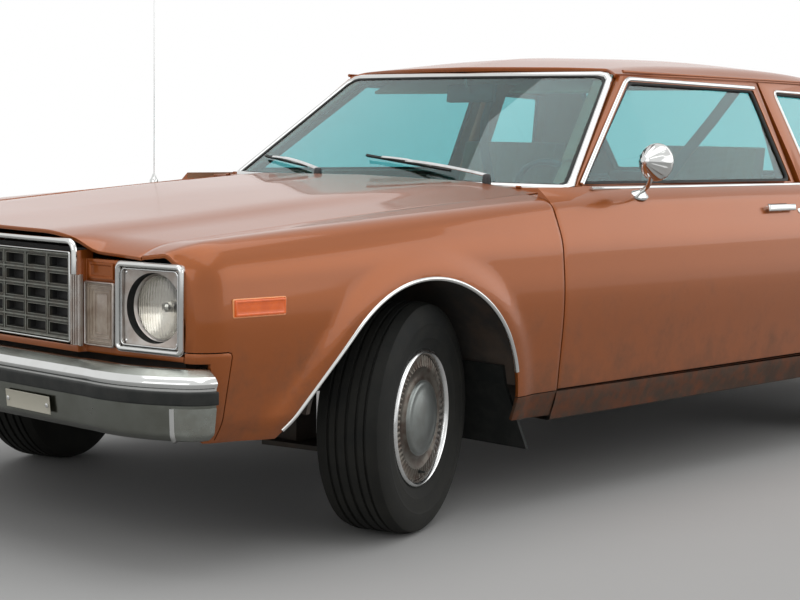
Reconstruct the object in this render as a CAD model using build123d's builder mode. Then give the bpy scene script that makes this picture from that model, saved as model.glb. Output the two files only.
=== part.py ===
"""Two-door compact car, modelled piece by piece at real size.

Frame: +Z up, the nose faces -Y, the driver's (left) side is +X, and the origin is on the ground
under the middle of the car. Lengths are millimetres. A station is a distance behind the front
bumper's face, and at() turns it into Y.
"""

import os
from math import atan2, cos, degrees, hypot, radians, sin, tan

from build123d import *

# Overall size
LENGTH = 5017.0
WIDTH = 1849.0
HEIGHT = 1354.0
WHEELBASE = 2761.0
FRONT_OVERHANG = 925.0
FRONT_AXLE = FRONT_OVERHANG
REAR_AXLE = FRONT_OVERHANG + WHEELBASE
FRONT_TRACK = 1524.0
REAR_TRACK = 1486.0

# Clearances
SEAM = 0.3        # between fixed pieces that seat on each other
DOOR_GAP = 6.0    # at the front and bottom edges of a door
SHUT_GAP = 12.0   # at the rear edge of a door
LID_GAP = 8.0     # round the hood and the trunk lid
RUNNING = 0.05    # radial, between a pin and its bore

# Panel thicknesses
SKIN = 16.0
DOOR_DEPTH = 108.0
LID_SKIN = 22.0
ROOF_SKIN = 26.0
FRAME_DEPTH = 28.0
PILLAR_DEPTH = 58.0
GLASS = 5.0
FLOOR_SKIN = 14.0

# Long cuts run this far past the car
FAR = 2000.0
AHEAD = -1500.0
BEHIND = 6500.0
BELOW = -100.0

# Wheels
TYRE_RADIUS = 320.0
TYRE_WIDTH = 198.0
BEAD_RADIUS = 184.0
RIM_WIDTH = 150.0
BARREL_RADIUS = 166.0
HUB_HEIGHT = TYRE_RADIUS
SPINDLE_RADIUS = 18.0
HUB_RADIUS = 62.0
STEER_AT_REST = 20.0
KINGPIN_OFFSET = 66.0

# Wheel openings
FRONT_ARCH_STATION = 915.0
FRONT_ARCH_RADIUS = 390.0
FRONT_ARCH_SLANT = 46.0
REAR_ARCH_RADIUS = 372.0
ARCH_LIP = 20.0
ARCH_LIP_INNER = 884.0
LINER_SKIN = 12.0
LINER_ROOM = 20.0

# Main stations and heights
NOSE_STATION = 48.0
FENDER_END = 1494.0
DOOR_FRONT = FENDER_END + DOOR_GAP
DOOR_REAR = 2944.0
QUARTER_FRONT = DOOR_REAR + SHUT_GAP
TAIL_STATION = 4925.0
SILL_TOP = 352.0
BELT = 945.0
RAIL = 1290.0
ROOF_SEAT = RAIL + DOOR_GAP


def at(station):
    """Y of a station."""
    return station - LENGTH / 2


def flat(points):
    """(station, height) pairs as points of a side view."""
    return [(at(station), height) for station, height in points]


def prism_x(points, x_from, x_to):
    """A side view outline of (station, height) pairs, swept across the car."""
    with BuildPart() as tool:
        with BuildSketch(Plane.YZ.offset(x_from)):
            with BuildLine():
                Polyline(flat(points), close=True)
            make_face()
        extrude(amount=x_to - x_from)
    return tool.part


def prism_y(points, station_from, station_to):
    """A cross section of (x, height) pairs, swept along the car."""
    with BuildPart() as tool:
        with BuildSketch(Plane.XZ.offset(-at(station_from))):
            with BuildLine():
                Polyline(points, close=True)
            make_face()
        extrude(amount=station_from - station_to)
    return tool.part


def prism_z(points, z_from, z_to):
    """A plan outline of (x, station) pairs, swept up."""
    with BuildPart() as tool:
        with BuildSketch(Plane.XY.offset(z_from)):
            with BuildLine():
                Polyline([(x, at(station)) for x, station in points], close=True)
            make_face()
        extrude(amount=z_to - z_from)
    return tool.part


def block(x_from, x_to, station_from, station_to, z_from, z_to):
    """A box between six faces."""
    corners = [(x_from, station_from), (x_to, station_from), (x_to, station_to), (x_from, station_to)]
    return prism_z(corners, z_from, z_to)


def lofted(sections):
    """A straight-sided loft through (station, [(x, height), ...]) sections."""
    with BuildPart() as tool:
        for station, points in sections:
            with BuildSketch(Plane.XZ.offset(-at(station))):
                with BuildLine():
                    Polyline(points, close=True)
                make_face()
        loft(ruled=True)
    return tool.part


def mirrored(solid):
    """The same piece on the right side of the car."""
    return mirror(solid, about=Plane.YZ)


def save(solid, name):
    """Label a finished piece and write its STEP file."""
    solid.label = name
    export_step(solid, f"parts/{name}.step")


os.makedirs("parts", exist_ok=True)

# Body side, left half. Columns: station, then (half-width, height) of the sill, crease, low side,
# high side, shoulder foot, shoulder and inner edge of the top
FENDER_SECTIONS = [
    (0, (846, 348), (865, 398), (876, 560), (877, 650), (863, 763), (822, 817), (701, 806)),
    (400, (866, 335), (889, 385), (903, 560), (905, 650), (891, 776), (838, 846), (716, 840)),
    (930, (870, 300), (893, 356), (910, 560), (912, 650), (899, 788), (848, 876), (736, 884)),
    (1500, (869, 278), (893, 352), (911, 560), (913, 650), (900, 790), (853, 905), (752, 925)),
]
SIDE_SECTIONS = [
    (1500, (869, 278), (893, 352), (911, 560), (913, 650), (900, 790), (853, 905), (803, 945)),
    (2950, (869, 278), (893, 352), (911, 560), (913, 650), (900, 790), (853, 912), (803, 945)),
    (3700, (869, 285), (892, 352), (911, 560), (913, 650), (900, 792), (852, 915), (798, 945)),
    (4400, (850, 320), (876, 380), (896, 560), (897, 650), (886, 785), (838, 900), (750, 928)),
    (4960, (812, 345), (836, 395), (850, 560), (850, 650), (838, 765), (798, 858), (700, 884)),
]


def side_solid(sections, wall=0.0):
    """Left half of the body out to its side, or the hollow that leaves the given wall."""
    layers = []
    for station, sill, crease, low, high, foot, shoulder, edge in sections:
        bottom = sill[1] if wall == 0 else BELOW
        points = [
            (0, bottom),
            (sill[0] - wall, bottom),
            (crease[0] - wall, crease[1]),
            (low[0] - wall, low[1]),
            (high[0] - wall, high[1]),
            (foot[0] - wall, foot[1] - 0.3 * wall),
            (shoulder[0] - 0.8 * wall, shoulder[1] - 0.8 * wall),
            (edge[0], edge[1] - wall),
            (0, edge[1] - wall),
        ]
        layers.append((station, points))
    return lofted(layers)


# Glasshouse side, left. Columns: station, half-width at the belt, half-width at the roof rail
GLASSHOUSE = [
    (1600, 776, 600),
    (2145, 796, 628),
    (2853, 806, 637),
    (3400, 800, 628),
    (4000, 764, 588),
]


def glasshouse_slab(depth, outset=0.0):
    """The leaning side between belt and roof rail, as thick as given and moved out by the outset."""
    layers = []
    for station, belt, rail in GLASSHOUSE:
        drop = belt - (rail - belt) * (BELT - 860.0) / (RAIL - BELT)
        rise = rail + (rail - belt) * (ROOF_SEAT + 30.0 - RAIL) / (RAIL - BELT)
        points = [
            (drop + outset, 860.0),
            (rise + outset, ROOF_SEAT + 30.0),
            (rise + outset - depth, ROOF_SEAT + 30.0),
            (drop + outset - depth, 860.0),
        ]
        layers.append((station, points))
    return lofted(layers)


def front_arch(grow=0.0):
    """Side view region of the front wheel opening: an arc with a slanted front edge."""
    radius = FRONT_ARCH_RADIUS + grow
    centre_y = at(FRONT_ARCH_STATION)
    turn = radians(90 + FRONT_ARCH_SLANT)
    tangent = (centre_y + radius * cos(turn), HUB_HEIGHT + radius * sin(turn))
    foot = (tangent[0] - (tangent[1] - BELOW) / tan(radians(FRONT_ARCH_SLANT)), BELOW)
    with BuildPart() as tool:
        with BuildSketch(Plane.YZ):
            with BuildLine():
                CenterArc((centre_y, HUB_HEIGHT), radius, 0, 90 + FRONT_ARCH_SLANT)
                Polyline(tangent, foot, (centre_y + radius, BELOW), (centre_y + radius, HUB_HEIGHT))
            make_face()
        extrude(amount=FAR)
    return tool.part


def round_arch(station, radius, x_from=0.0):
    """Side view region of a round wheel opening with straight sides below the hub."""
    centre_y = at(station)
    with BuildPart() as tool:
        with BuildSketch(Plane.YZ.offset(x_from)):
            with BuildLine():
                CenterArc((centre_y, HUB_HEIGHT), radius, 0, 180)
                Polyline(
                    (centre_y - radius, HUB_HEIGHT),
                    (centre_y - radius, BELOW),
                    (centre_y + radius, BELOW),
                    (centre_y + radius, HUB_HEIGHT),
                )
            make_face()
        extrude(amount=FAR)
    return tool.part


# Windshield and rear window: plan arcs at two heights.
# Columns: height, corner half-width, corner station, centre station
WINDSHIELD_ARCS = [(925.0, 758.0, 1680.0, 1580.0), (1300.0, 539.0, 2172.0, 2072.0)]
REAR_WINDOW_ARCS = [(935.0, 716.0, 3930.0, 3990.0), (1300.0, 566.0, 3440.0, 3500.0)]


GLASS_STEPS = (-1, -0.7, -0.35, 0, 0.35, 0.7, 1)


def curved_glass(arcs, grow=0.0):
    """A curved pane between two plan arcs, or the room it takes with a margin all round."""
    low, high = arcs
    rise = high[0] - low[0]
    slope = hypot(high[2] - low[2], rise) / rise
    depth = (GLASS + 2 * grow) * slope
    with BuildPart() as glass:
        for (height, corner_x, corner_station, centre_station), beyond in zip(arcs, (-grow, grow)):
            travel = beyond * (high[2] - low[2]) / rise - grow * slope
            half = corner_x + grow + beyond * (high[1] - low[1]) / rise
            front = []
            for part in GLASS_STEPS:
                station = centre_station + (corner_station - centre_station) * part**2
                front.append((half * part, at(station) + travel))
            back = [(x, y + depth) for x, y in reversed(front)]
            with BuildSketch(Plane.XY.offset(height + beyond)):
                with BuildLine():
                    Polyline(front + back, close=True)
                make_face()
        loft(ruled=True)
    return glass.part


windshield_pocket = curved_glass(WINDSHIELD_ARCS, SEAM)
rear_window_pocket = curved_glass(REAR_WINDOW_ARCS, SEAM)

# Hollows behind the side skins, kept a seam away from them, which inner pieces fill
fender_hollow = side_solid(FENDER_SECTIONS, SKIN + SEAM)
side_hollow = side_solid(SIDE_SECTIONS, SKIN + SEAM)

# Front fenders
NOSE_PLAN = [(0, 48), (508, 60), (512, 84), (622, 94), (831, 136), (920, 160)]
HOOD_SEAM = [(701, 0), (716, 400), (736, 930), (752, 1500)]

with BuildPart() as arch_lip_front:
    add(front_arch(ARCH_LIP))
    add(block(-1, ARCH_LIP_INNER, AHEAD, BEHIND, BELOW - 1, 1000), mode=Mode.SUBTRACT)
    add(block(-1, FAR + 1, AHEAD, BEHIND, BELOW - 1, 335), mode=Mode.SUBTRACT)
    add(block(WIDTH / 2, FAR + 1, AHEAD, BEHIND, BELOW - 1, 1000), mode=Mode.SUBTRACT)

with BuildPart() as fender_left:
    add(side_solid(FENDER_SECTIONS))
    add(side_solid(FENDER_SECTIONS, SKIN), mode=Mode.SUBTRACT)
    add(prism_z([(-5, 0)] + HOOD_SEAM + [(-5, 1500)], 700, 1000), mode=Mode.SUBTRACT)
    add(arch_lip_front.part)
    add(front_arch(), mode=Mode.SUBTRACT)
    add(prism_z(NOSE_PLAN[3:] + [(920, 0), (622, 0)], 500, 1000), mode=Mode.SUBTRACT)
    add(block(0, 1000, 0, 178, BELOW, 540), mode=Mode.SUBTRACT)
    add(block(0, 1000, FENDER_END, 1600, BELOW, 1000), mode=Mode.SUBTRACT)
save(fender_left.part, "fender_left")
save(mirrored(fender_left.part), "fender_right")

# Hood: a raised middle panel between two creases.
# Columns: station, middle height, (half-width, height) of panel edge, crease foot and outer edge
HOOD_SECTIONS = [
    (30, 846, (430, 842), (520, 820), (694, 803)),
    (400, 872, (440, 867), (535, 848), (716 - LID_GAP, 838)),
    (930, 918, (455, 912), (560, 895), (736 - LID_GAP, 882)),
    (1570, 958, (480, 951), (620, 938), (753 - LID_GAP, 927)),
]
HOOD_FRONT = [(0, 40), (430, 44), (505, 62), (620, 96), (800, 134)]
HOOD_REAR = 1570.0


def mirrored_outline(half):
    """A closed section from its right-hand half, first and last points on the centre line."""
    other = [(-x, z) for x, z in reversed(half) if x > 0]
    return half + other


def lid(sections, thickness):
    """A crowned panel of even thickness."""
    layers = []
    for station, middle, panel, crease, edge in sections:
        half = [
            (0, middle),
            panel,
            crease,
            edge,
            (edge[0], edge[1] - thickness),
            (crease[0], crease[1] - thickness),
            (panel[0], panel[1] - thickness),
            (0, middle - thickness),
        ]
        layers.append((station, mirrored_outline(half)))
    return lofted(layers)


LUG_RADIUS = 3.6
HINGE_PIN = 2.5
LUG_X = (640.0, 655.0)
PIN_REACH = 14.0
HOOD_PIVOT = (1574.0, 940.0)
TRUNK_PIVOT = (4012.0, 945.0)


def cross_bar(radius, x_from, x_to, pivot):
    """A round bar across the car."""
    with BuildPart() as bar:
        with BuildSketch(Plane.YZ.offset(x_from)):
            with Locations((at(pivot[0]), pivot[1])):
                Circle(radius)
        extrude(amount=x_to - x_from)
    return bar.part


def moving_lug(pivot, reach):
    """The lid's half of a hinge, with its pin. The reach is signed and runs along the car."""
    ends = sorted((pivot[0], pivot[0] + reach))
    with BuildPart() as lug:
        add(cross_bar(LUG_RADIUS, LUG_X[0], LUG_X[1], pivot))
        add(cross_bar(HINGE_PIN, LUG_X[0], LUG_X[1] + PIN_REACH, pivot))
        add(block(LUG_X[0], LUG_X[1], ends[0], ends[1], pivot[1] - 10, pivot[1]))
    return lug.part


def fixed_lug(pivot, reach):
    """The body's half of a hinge, with the pin's hole."""
    ends = sorted((pivot[0], pivot[0] + reach))
    x_from = LUG_X[1] + SEAM
    x_to = LUG_X[1] + PIN_REACH + 2
    with BuildPart() as lug:
        add(cross_bar(LUG_RADIUS, x_from, x_to, pivot))
        add(block(x_from, x_to, ends[0], ends[1], pivot[1] - 10, pivot[1]))
        add(cross_bar(HINGE_PIN + RUNNING, x_from - 1, x_to + 1, pivot), mode=Mode.SUBTRACT)
    return lug.part


with BuildPart() as hood:
    add(lid(HOOD_SECTIONS, LID_SKIN))
    add(moving_lug(HOOD_PIVOT, -14))
    add(mirrored(moving_lug(HOOD_PIVOT, -14)))
    front_cut = [(x, station) for x, station in HOOD_FRONT]
    left_cut = front_cut + [(800, -50), (0, -50)]
    add(prism_z(left_cut, 700, 1000), mode=Mode.SUBTRACT)
    add(mirrored(prism_z(left_cut, 700, 1000)), mode=Mode.SUBTRACT)
save(hood.part, "hood")

# Nose panel round the grille and the lamps
HEADER_TOP = 808.0
HEADER_SIDE_TOP = 776.0
HEADER_BOTTOM = 542.0
HEADER_DEPTH = 34.0
GRILLE_HALF = 500.0
GRILLE_LOW = 558.0
GRILLE_HIGH = 802.0
LAMP_LOW = 556.0
LAMP_HIGH = 776.0
TURN_INNER = 520.0
TURN_OUTER = 614.0
TURN_LOW = 578.0
TURN_HIGH = 715.0
BEZEL_INNER = 622.0
BEZEL_OUTER = 831.0
HEADLAMP_RADIUS = 89.0

nose_face = NOSE_PLAN[:5] + [(862, 147)]
nose_back = [(x, station + HEADER_DEPTH) for x, station in reversed(nose_face)]
with BuildPart() as header_half:
    add(prism_z(nose_face + nose_back, HEADER_BOTTOM, HEADER_TOP))
    add(block(510, 900, 0, 400, HEADER_SIDE_TOP, 900), mode=Mode.SUBTRACT)
    add(block(-1, GRILLE_HALF, 0, 400, GRILLE_LOW, GRILLE_HIGH), mode=Mode.SUBTRACT)
    add(block(TURN_INNER, TURN_OUTER, 0, 400, TURN_LOW, TURN_HIGH), mode=Mode.SUBTRACT)
    add(block(BEZEL_INNER, BEZEL_OUTER, 0, 400, LAMP_LOW, 900), mode=Mode.SUBTRACT)
    add(fender_hollow, mode=Mode.INTERSECT)
with BuildPart() as header_panel:
    add(header_half.part)
    add(mirrored(header_half.part))
save(header_panel.part, "header_panel")

# Doors
DOOR_BOTTOM = SILL_TOP + DOOR_GAP
DOOR_WINDOW = [(1746, BELT + 4), (2152, 1272), (2872, 1262), (2896, BELT + 4)]
DOOR_LOW_OUTLINE = [(DOOR_FRONT, DOOR_BOTTOM), (DOOR_REAR, DOOR_BOTTOM), (DOOR_REAR, 960), (DOOR_FRONT, 960)]
DOOR_FRAME_FOOT = 1720.0
DOOR_HIGH_OUTLINE = [
    (DOOR_FRAME_FOOT, 900),
    (DOOR_FRAME_FOOT, BELT),
    (2136, RAIL),
    (DOOR_REAR - 34, RAIL),
    (DOOR_REAR - 3, 1010),
    (DOOR_REAR, 905),
]
SHUT_TAPER = [(700, DOOR_REAR - 26), (915, DOOR_REAR), (915, DOOR_REAR + 200), (500, DOOR_REAR + 200), (500, DOOR_REAR - 50)]
HINGE_X = 905.0
COWL_CORNER = 1706.0
HINGE_STATION = DOOR_FRONT + 42.0

with BuildPart() as door_left:
    add(side_solid(SIDE_SECTIONS))
    add(side_solid(SIDE_SECTIONS, DOOR_DEPTH), mode=Mode.SUBTRACT)
    add(block(-1, 748, AHEAD, BEHIND, BELOW - 1, 1000), mode=Mode.SUBTRACT)
    add(block(-1, 806, AHEAD, COWL_CORNER + LID_GAP, 838, 1000), mode=Mode.SUBTRACT)
    add(block(-1, 757, AHEAD, 1765, 900, 1000), mode=Mode.SUBTRACT)
    add(prism_x(DOOR_LOW_OUTLINE, 0, FAR), mode=Mode.INTERSECT)
with BuildPart() as door_frame_left:
    add(glasshouse_slab(FRAME_DEPTH))
    add(prism_x(DOOR_HIGH_OUTLINE, 0, FAR), mode=Mode.INTERSECT)
with BuildPart() as door_whole_left:
    add(door_left.part)
    add(door_frame_left.part)
    add(prism_x(DOOR_WINDOW, 0, FAR), mode=Mode.SUBTRACT)
    add(prism_z(SHUT_TAPER, BELOW, 2000), mode=Mode.SUBTRACT)
save(door_whole_left.part, "door_left")
save(mirrored(door_whole_left.part), "door_right")


def inset_outline(points, gap):
    """A convex outline drawn in by an even gap."""
    with BuildSketch() as sketch:
        with BuildLine():
            Polyline(flat(points), close=True)
        make_face()
        offset(amount=-gap, kind=Kind.INTERSECTION, mode=Mode.REPLACE)
    return sketch.sketch


def pane(points, gap, depth, setback):
    """A flat pane in the leaning glasshouse side, a gap inside its opening."""
    with BuildPart() as glass:
        with BuildSketch(Plane.YZ):
            add(inset_outline(points, gap))
        extrude(amount=FAR)
        add(glasshouse_slab(depth, -setback), mode=Mode.INTERSECT)
    return glass.part


door_glass_left = pane(DOOR_WINDOW, SEAM, GLASS, 12.0)
save(door_glass_left, "door_glass_left")
save(mirrored(door_glass_left), "door_glass_right")

# Rear quarters: lower side, sail panel with its window, and the pillar behind the door
QUARTER_WINDOW = [(3046, BELT + 6), (3012, 1258), (3270, 1252), (3420, BELT + 6)]
QUARTER_HIGH_OUTLINE = [
    (QUARTER_FRONT, 880),
    (QUARTER_FRONT, 905),
    (QUARTER_FRONT - 3, 1010),
    (QUARTER_FRONT - 34, ROOF_SEAT - SEAM),
    (3440, ROOF_SEAT - SEAM),
    (3985, 930),
    (3985, 880),
]
TRUNK_SEAM = [(752, 3990), (736, 4400), (696, 4960)]
tail_corner = prism_z([(770, 4926), (852, 4862), (1100, 4862), (1100, 5200), (770, 5200)], BELOW, 1200)
QUARTER_LOW_OUTLINE = [
    (QUARTER_FRONT, SILL_TOP + SEAM),
    (3345, SILL_TOP + SEAM),
    (3345, 300),
    (TAIL_STATION, 300),
    (TAIL_STATION, 960),
    (QUARTER_FRONT, 960),
]
with BuildPart() as arch_lip_rear:
    add(round_arch(REAR_AXLE, REAR_ARCH_RADIUS + ARCH_LIP, ARCH_LIP_INNER))
    add(block(WIDTH / 2, ARCH_LIP_INNER + FAR + 1, AHEAD, BEHIND, BELOW - 1, 1000), mode=Mode.SUBTRACT)
    add(block(0, FAR * 2, AHEAD, BEHIND, BELOW - 1, 335), mode=Mode.SUBTRACT)
with BuildPart() as quarter_low:
    add(side_solid(SIDE_SECTIONS))
    add(side_solid(SIDE_SECTIONS, SKIN), mode=Mode.SUBTRACT)
    add(prism_x(QUARTER_LOW_OUTLINE, 0, FAR), mode=Mode.INTERSECT)
    add(block(-1, 752, AHEAD, 3990, 700, 1000), mode=Mode.SUBTRACT)
    add(prism_z([(-1, 3985)] + TRUNK_SEAM + [(-1, 4960)], 700, 1000), mode=Mode.SUBTRACT)
    add(arch_lip_rear.part)
    add(round_arch(REAR_AXLE, REAR_ARCH_RADIUS), mode=Mode.SUBTRACT)
    add(tail_corner, mode=Mode.SUBTRACT)
with BuildPart() as quarter_high:
    add(glasshouse_slab(PILLAR_DEPTH))
    add(prism_x(QUARTER_HIGH_OUTLINE, 0, FAR), mode=Mode.INTERSECT)
    add(prism_x(QUARTER_WINDOW, 0, FAR), mode=Mode.SUBTRACT)
with BuildPart() as quarter_left:
    add(quarter_low.part)
    add(quarter_high.part)
    add(rear_window_pocket, mode=Mode.SUBTRACT)
save(quarter_left.part, "quarter_left")
save(mirrored(quarter_left.part), "quarter_right")

quarter_glass_left = pane(QUARTER_WINDOW, SEAM, GLASS, 14.0)
with BuildPart() as quarter_windows:
    add(quarter_glass_left)
    add(mirrored(quarter_glass_left))
save(quarter_windows.part, "quarter_windows")

# Roof. Columns: station, then (half-width, height) of the rail, the brow and the haunch, middle height
ROOF_SECTIONS = [
    (2045, (596, ROOF_SEAT), (552, 1304), (300, 1311), 1316),
    (2300, (630, ROOF_SEAT), (575, 1318), (300, 1334), 1340),
    (2650, (640, ROOF_SEAT), (588, 1325), (300, 1347), HEIGHT),
    (3050, (638, ROOF_SEAT), (586, 1325), (300, 1347), HEIGHT),
    (3300, (632, ROOF_SEAT), (578, 1318), (300, 1334), 1340),
    (3530, (606, ROOF_SEAT), (552, 1304), (300, 1311), 1316),
]
ROOF_FRONT = [(0, 2062), (300, 2090), (548, 2156), (620, 2104), (660, 2080), (660, 1500), (0, 1500)]
ROOF_REAR = [(0, 3526), (350, 3506), (660, 3446), (660, 4200), (0, 4200)]
layers = []
for station, rail, brow, haunch, middle in ROOF_SECTIONS:
    half = [
        (0, middle),
        haunch,
        brow,
        rail,
        (brow[0] - 40, ROOF_SEAT),
        (haunch[0], haunch[1] - ROOF_SKIN),
        (0, middle - ROOF_SKIN),
    ]
    layers.append((station, mirrored_outline(half)))
with BuildPart() as roof:
    add(lofted(layers))
    for cut in (ROOF_FRONT, ROOF_REAR):
        tool = prism_z(cut, 1200, 1500)
        add(tool, mode=Mode.SUBTRACT)
        add(mirrored(tool), mode=Mode.SUBTRACT)
    add(windshield_pocket, mode=Mode.SUBTRACT)
    add(rear_window_pocket, mode=Mode.SUBTRACT)
save(roof.part, "roof")

windshield = curved_glass(WINDSHIELD_ARCS)
save(windshield, "windshield")
rear_window = curved_glass(REAR_WINDOW_ARCS)
save(rear_window, "rear_window")

# Windshield pillars, between the cowl and the roof. Columns: (x, station) of the outer front,
# outer rear, inner rear and inner front corners
COWL_TOP = 938.0
PILLAR_FOOT = [(786, 1672), (786, 1714), (694, 1745), (694, 1680)]
PILLAR_HEAD = [(620, 2100), (620, 2130), (524, 2200), (524, 2130)]
frame_front = [(DOOR_FRAME_FOOT - DOOR_GAP, 900), (DOOR_FRAME_FOOT - DOOR_GAP, BELT), (2136 - DOOR_GAP, RAIL)]
frame_rear = [(2136 - DOOR_GAP, ROOF_SEAT + 1), (2400, ROOF_SEAT + 1), (2400, 900)]
with BuildPart() as frame_room:
    add(glasshouse_slab(FRAME_DEPTH + 2 * DOOR_GAP, DOOR_GAP))
    add(prism_x(frame_front + frame_rear, 0, FAR), mode=Mode.INTERSECT)
with BuildPart() as pillar_left:
    for height, corners in ((COWL_TOP, PILLAR_FOOT), (ROOF_SEAT, PILLAR_HEAD)):
        with BuildSketch(Plane.XY.offset(height)):
            with BuildLine():
                Polyline([(x, at(station)) for x, station in corners], close=True)
            make_face()
    loft(ruled=True)
    add(windshield_pocket, mode=Mode.SUBTRACT)
    add(frame_room.part, mode=Mode.SUBTRACT)
with BuildPart() as windshield_pillars:
    add(pillar_left.part)
    add(mirrored(pillar_left.part))
save(windshield_pillars.part, "windshield_pillars")

# Cowl, firewall and the posts that carry the door hinges
FIREWALL = 1392.0
FIREWALL_SKIN = 14.0
COWL_BOX_LOW = 850.0
COWL_HALF = 792.0
COWL_REAR = 1732.0
HINGE_POST = (770, 1426, FENDER_END - 2)
cowl_plan = [(COWL_HALF, DOOR_FRONT + 6), (COWL_HALF, COWL_CORNER), (738, COWL_CORNER), (738, COWL_REAR)]
cowl_plan += [(-738, COWL_REAR), (-738, COWL_CORNER), (-COWL_HALF, COWL_CORNER), (-COWL_HALF, DOOR_FRONT + 6)]
cowl_plan += [(-756, DOOR_FRONT + 6), (-756, HOOD_REAR + LID_GAP), (756, HOOD_REAR + LID_GAP), (756, DOOR_FRONT + 6)]
with BuildPart() as cowl_side:
    add(block(0, FAR, FIREWALL, FENDER_END, COWL_BOX_LOW, COWL_BOX_LOW + 20))
    add(block(HINGE_POST[0], FAR, HINGE_POST[1], HINGE_POST[2], 340, COWL_BOX_LOW + 20))
    add(block(0, HINGE_POST[0], FIREWALL, FIREWALL + FIREWALL_SKIN, 330, COWL_BOX_LOW))
    add(block(HINGE_POST[0] - 14, HINGE_POST[0], FIREWALL, HINGE_POST[2], 340, COWL_BOX_LOW))
    add(fender_hollow, mode=Mode.INTERSECT)
with BuildPart() as cowl:
    add(cowl_side.part)
    add(mirrored(cowl_side.part))
    add(block(-COWL_HALF, COWL_HALF, FENDER_END - 1, DOOR_FRONT + 7, COWL_BOX_LOW, COWL_BOX_LOW + 20))
    add(prism_z(cowl_plan, COWL_BOX_LOW, COWL_TOP))
    add(block(-150, 150, FIREWALL - 5, FIREWALL + 30, 320, 524), mode=Mode.SUBTRACT)
    add(windshield_pocket, mode=Mode.SUBTRACT)
    add(fixed_lug(HOOD_PIVOT, 8))
    add(mirrored(fixed_lug(HOOD_PIVOT, 8)))
save(cowl.part, "cowl")

# Frame rails, inner aprons, wheelhouse liners and upper arms
KINGPIN_X = FRONT_TRACK / 2 - KINGPIN_OFFSET
RAIL_INNER = 350.0
RAIL_OUTER = 430.0
RAIL_FRONT = 200.0
RAIL_LOW = 380.0
RAIL_HIGH = 480.0
APRON_SKIN = 14.0
APRON_TOP = 800.0
PIN_RADIUS = 9.0
UPPER_ARM = (434.0, 448.0)
LOWER_ARM = (198.0, 212.0)


def arm(x_inner, levels):
    """A tapered arm from the frame out to the kingpin, with the kingpin's hole."""
    outline = [
        (x_inner, FRONT_AXLE - 100),
        (KINGPIN_X - 90, FRONT_AXLE - 42),
        (KINGPIN_X - 14, FRONT_AXLE - 22),
        (KINGPIN_X + 20, FRONT_AXLE - 22),
        (KINGPIN_X + 20, FRONT_AXLE + 22),
        (KINGPIN_X - 14, FRONT_AXLE + 22),
        (KINGPIN_X - 90, FRONT_AXLE + 42),
        (x_inner, FRONT_AXLE + 100),
    ]
    with BuildPart() as solid:
        add(prism_z(outline, levels[0], levels[1]))
        with BuildSketch(Plane.XY.offset(levels[0] - 1)):
            with Locations((KINGPIN_X, at(FRONT_AXLE))):
                Circle(PIN_RADIUS + RUNNING)
        extrude(amount=levels[1] - levels[0] + 2, mode=Mode.SUBTRACT)
    return solid.part


LINER_RADIUS = FRONT_ARCH_RADIUS + LINER_ROOM
with BuildPart() as liner_left:
    add(round_arch(FRONT_ARCH_STATION, LINER_RADIUS + LINER_SKIN, RAIL_OUTER))
    add(round_arch(FRONT_ARCH_STATION, LINER_RADIUS, RAIL_OUTER), mode=Mode.SUBTRACT)
    add(block(0, FAR * 2, AHEAD, BEHIND, BELOW - 1, 384), mode=Mode.SUBTRACT)
    add(fender_hollow, mode=Mode.INTERSECT)
    add(block(ARCH_LIP_INNER - SEAM, FAR, AHEAD, 700, BELOW, 700), mode=Mode.SUBTRACT)
with BuildPart() as apron_left:
    add(block(RAIL_INNER, RAIL_OUTER, RAIL_FRONT, FIREWALL - SEAM, RAIL_LOW, RAIL_HIGH))
    add(block(RAIL_OUTER - APRON_SKIN, RAIL_OUTER, 480, FIREWALL - SEAM, RAIL_HIGH, APRON_TOP))
    add(liner_left.part)
    add(arm(RAIL_OUTER, UPPER_ARM))
with BuildPart() as front_aprons:
    add(apron_left.part)
    add(mirrored(apron_left.part))
save(front_aprons.part, "front_aprons")

# Crossmember under the engine with the lower arms
BEAM_LOW = 236.0
BEAM_TOP = 300.0
with BuildPart() as crossmember_half:
    add(block(0, RAIL_OUTER, FRONT_AXLE - 40, FRONT_AXLE + 40, BEAM_LOW, BEAM_TOP))
    add(block(RAIL_INNER, RAIL_OUTER, FRONT_AXLE - 40, FRONT_AXLE + 40, LOWER_ARM[0], RAIL_LOW - SEAM))
    add(arm(RAIL_INNER, LOWER_ARM))
with BuildPart() as front_crossmember:
    add(crossmember_half.part)
    add(mirrored(crossmember_half.part))
save(front_crossmember.part, "front_crossmember")

# Engine and gearbox as one block
ENGINE_HALF = 270.0
with BuildPart() as engine_block:
    add(block(-ENGINE_HALF, ENGINE_HALF, 640, 1350, BEAM_TOP + SEAM, 790))
    add(block(-125, 125, 1349, 2000, 286, 480))
save(engine_block.part, "engine_block")

# Radiator and its support panel
with BuildPart() as support_half:
    add(block(0, 786, 175, RAIL_FRONT - SEAM, 352, 762))
    add(fender_hollow, mode=Mode.INTERSECT)
    add(block(-1, 340, 100, 300, 410, 740), mode=Mode.SUBTRACT)
    add(block(440, 780, 100, 300, 560, 720), mode=Mode.SUBTRACT)
    add(block(-1, 340.0, 175 + 4, 175 + 44, 410, 740))
with BuildPart() as radiator_support:
    add(support_half.part)
    add(mirrored(support_half.part))
save(radiator_support.part, "radiator_support")

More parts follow.
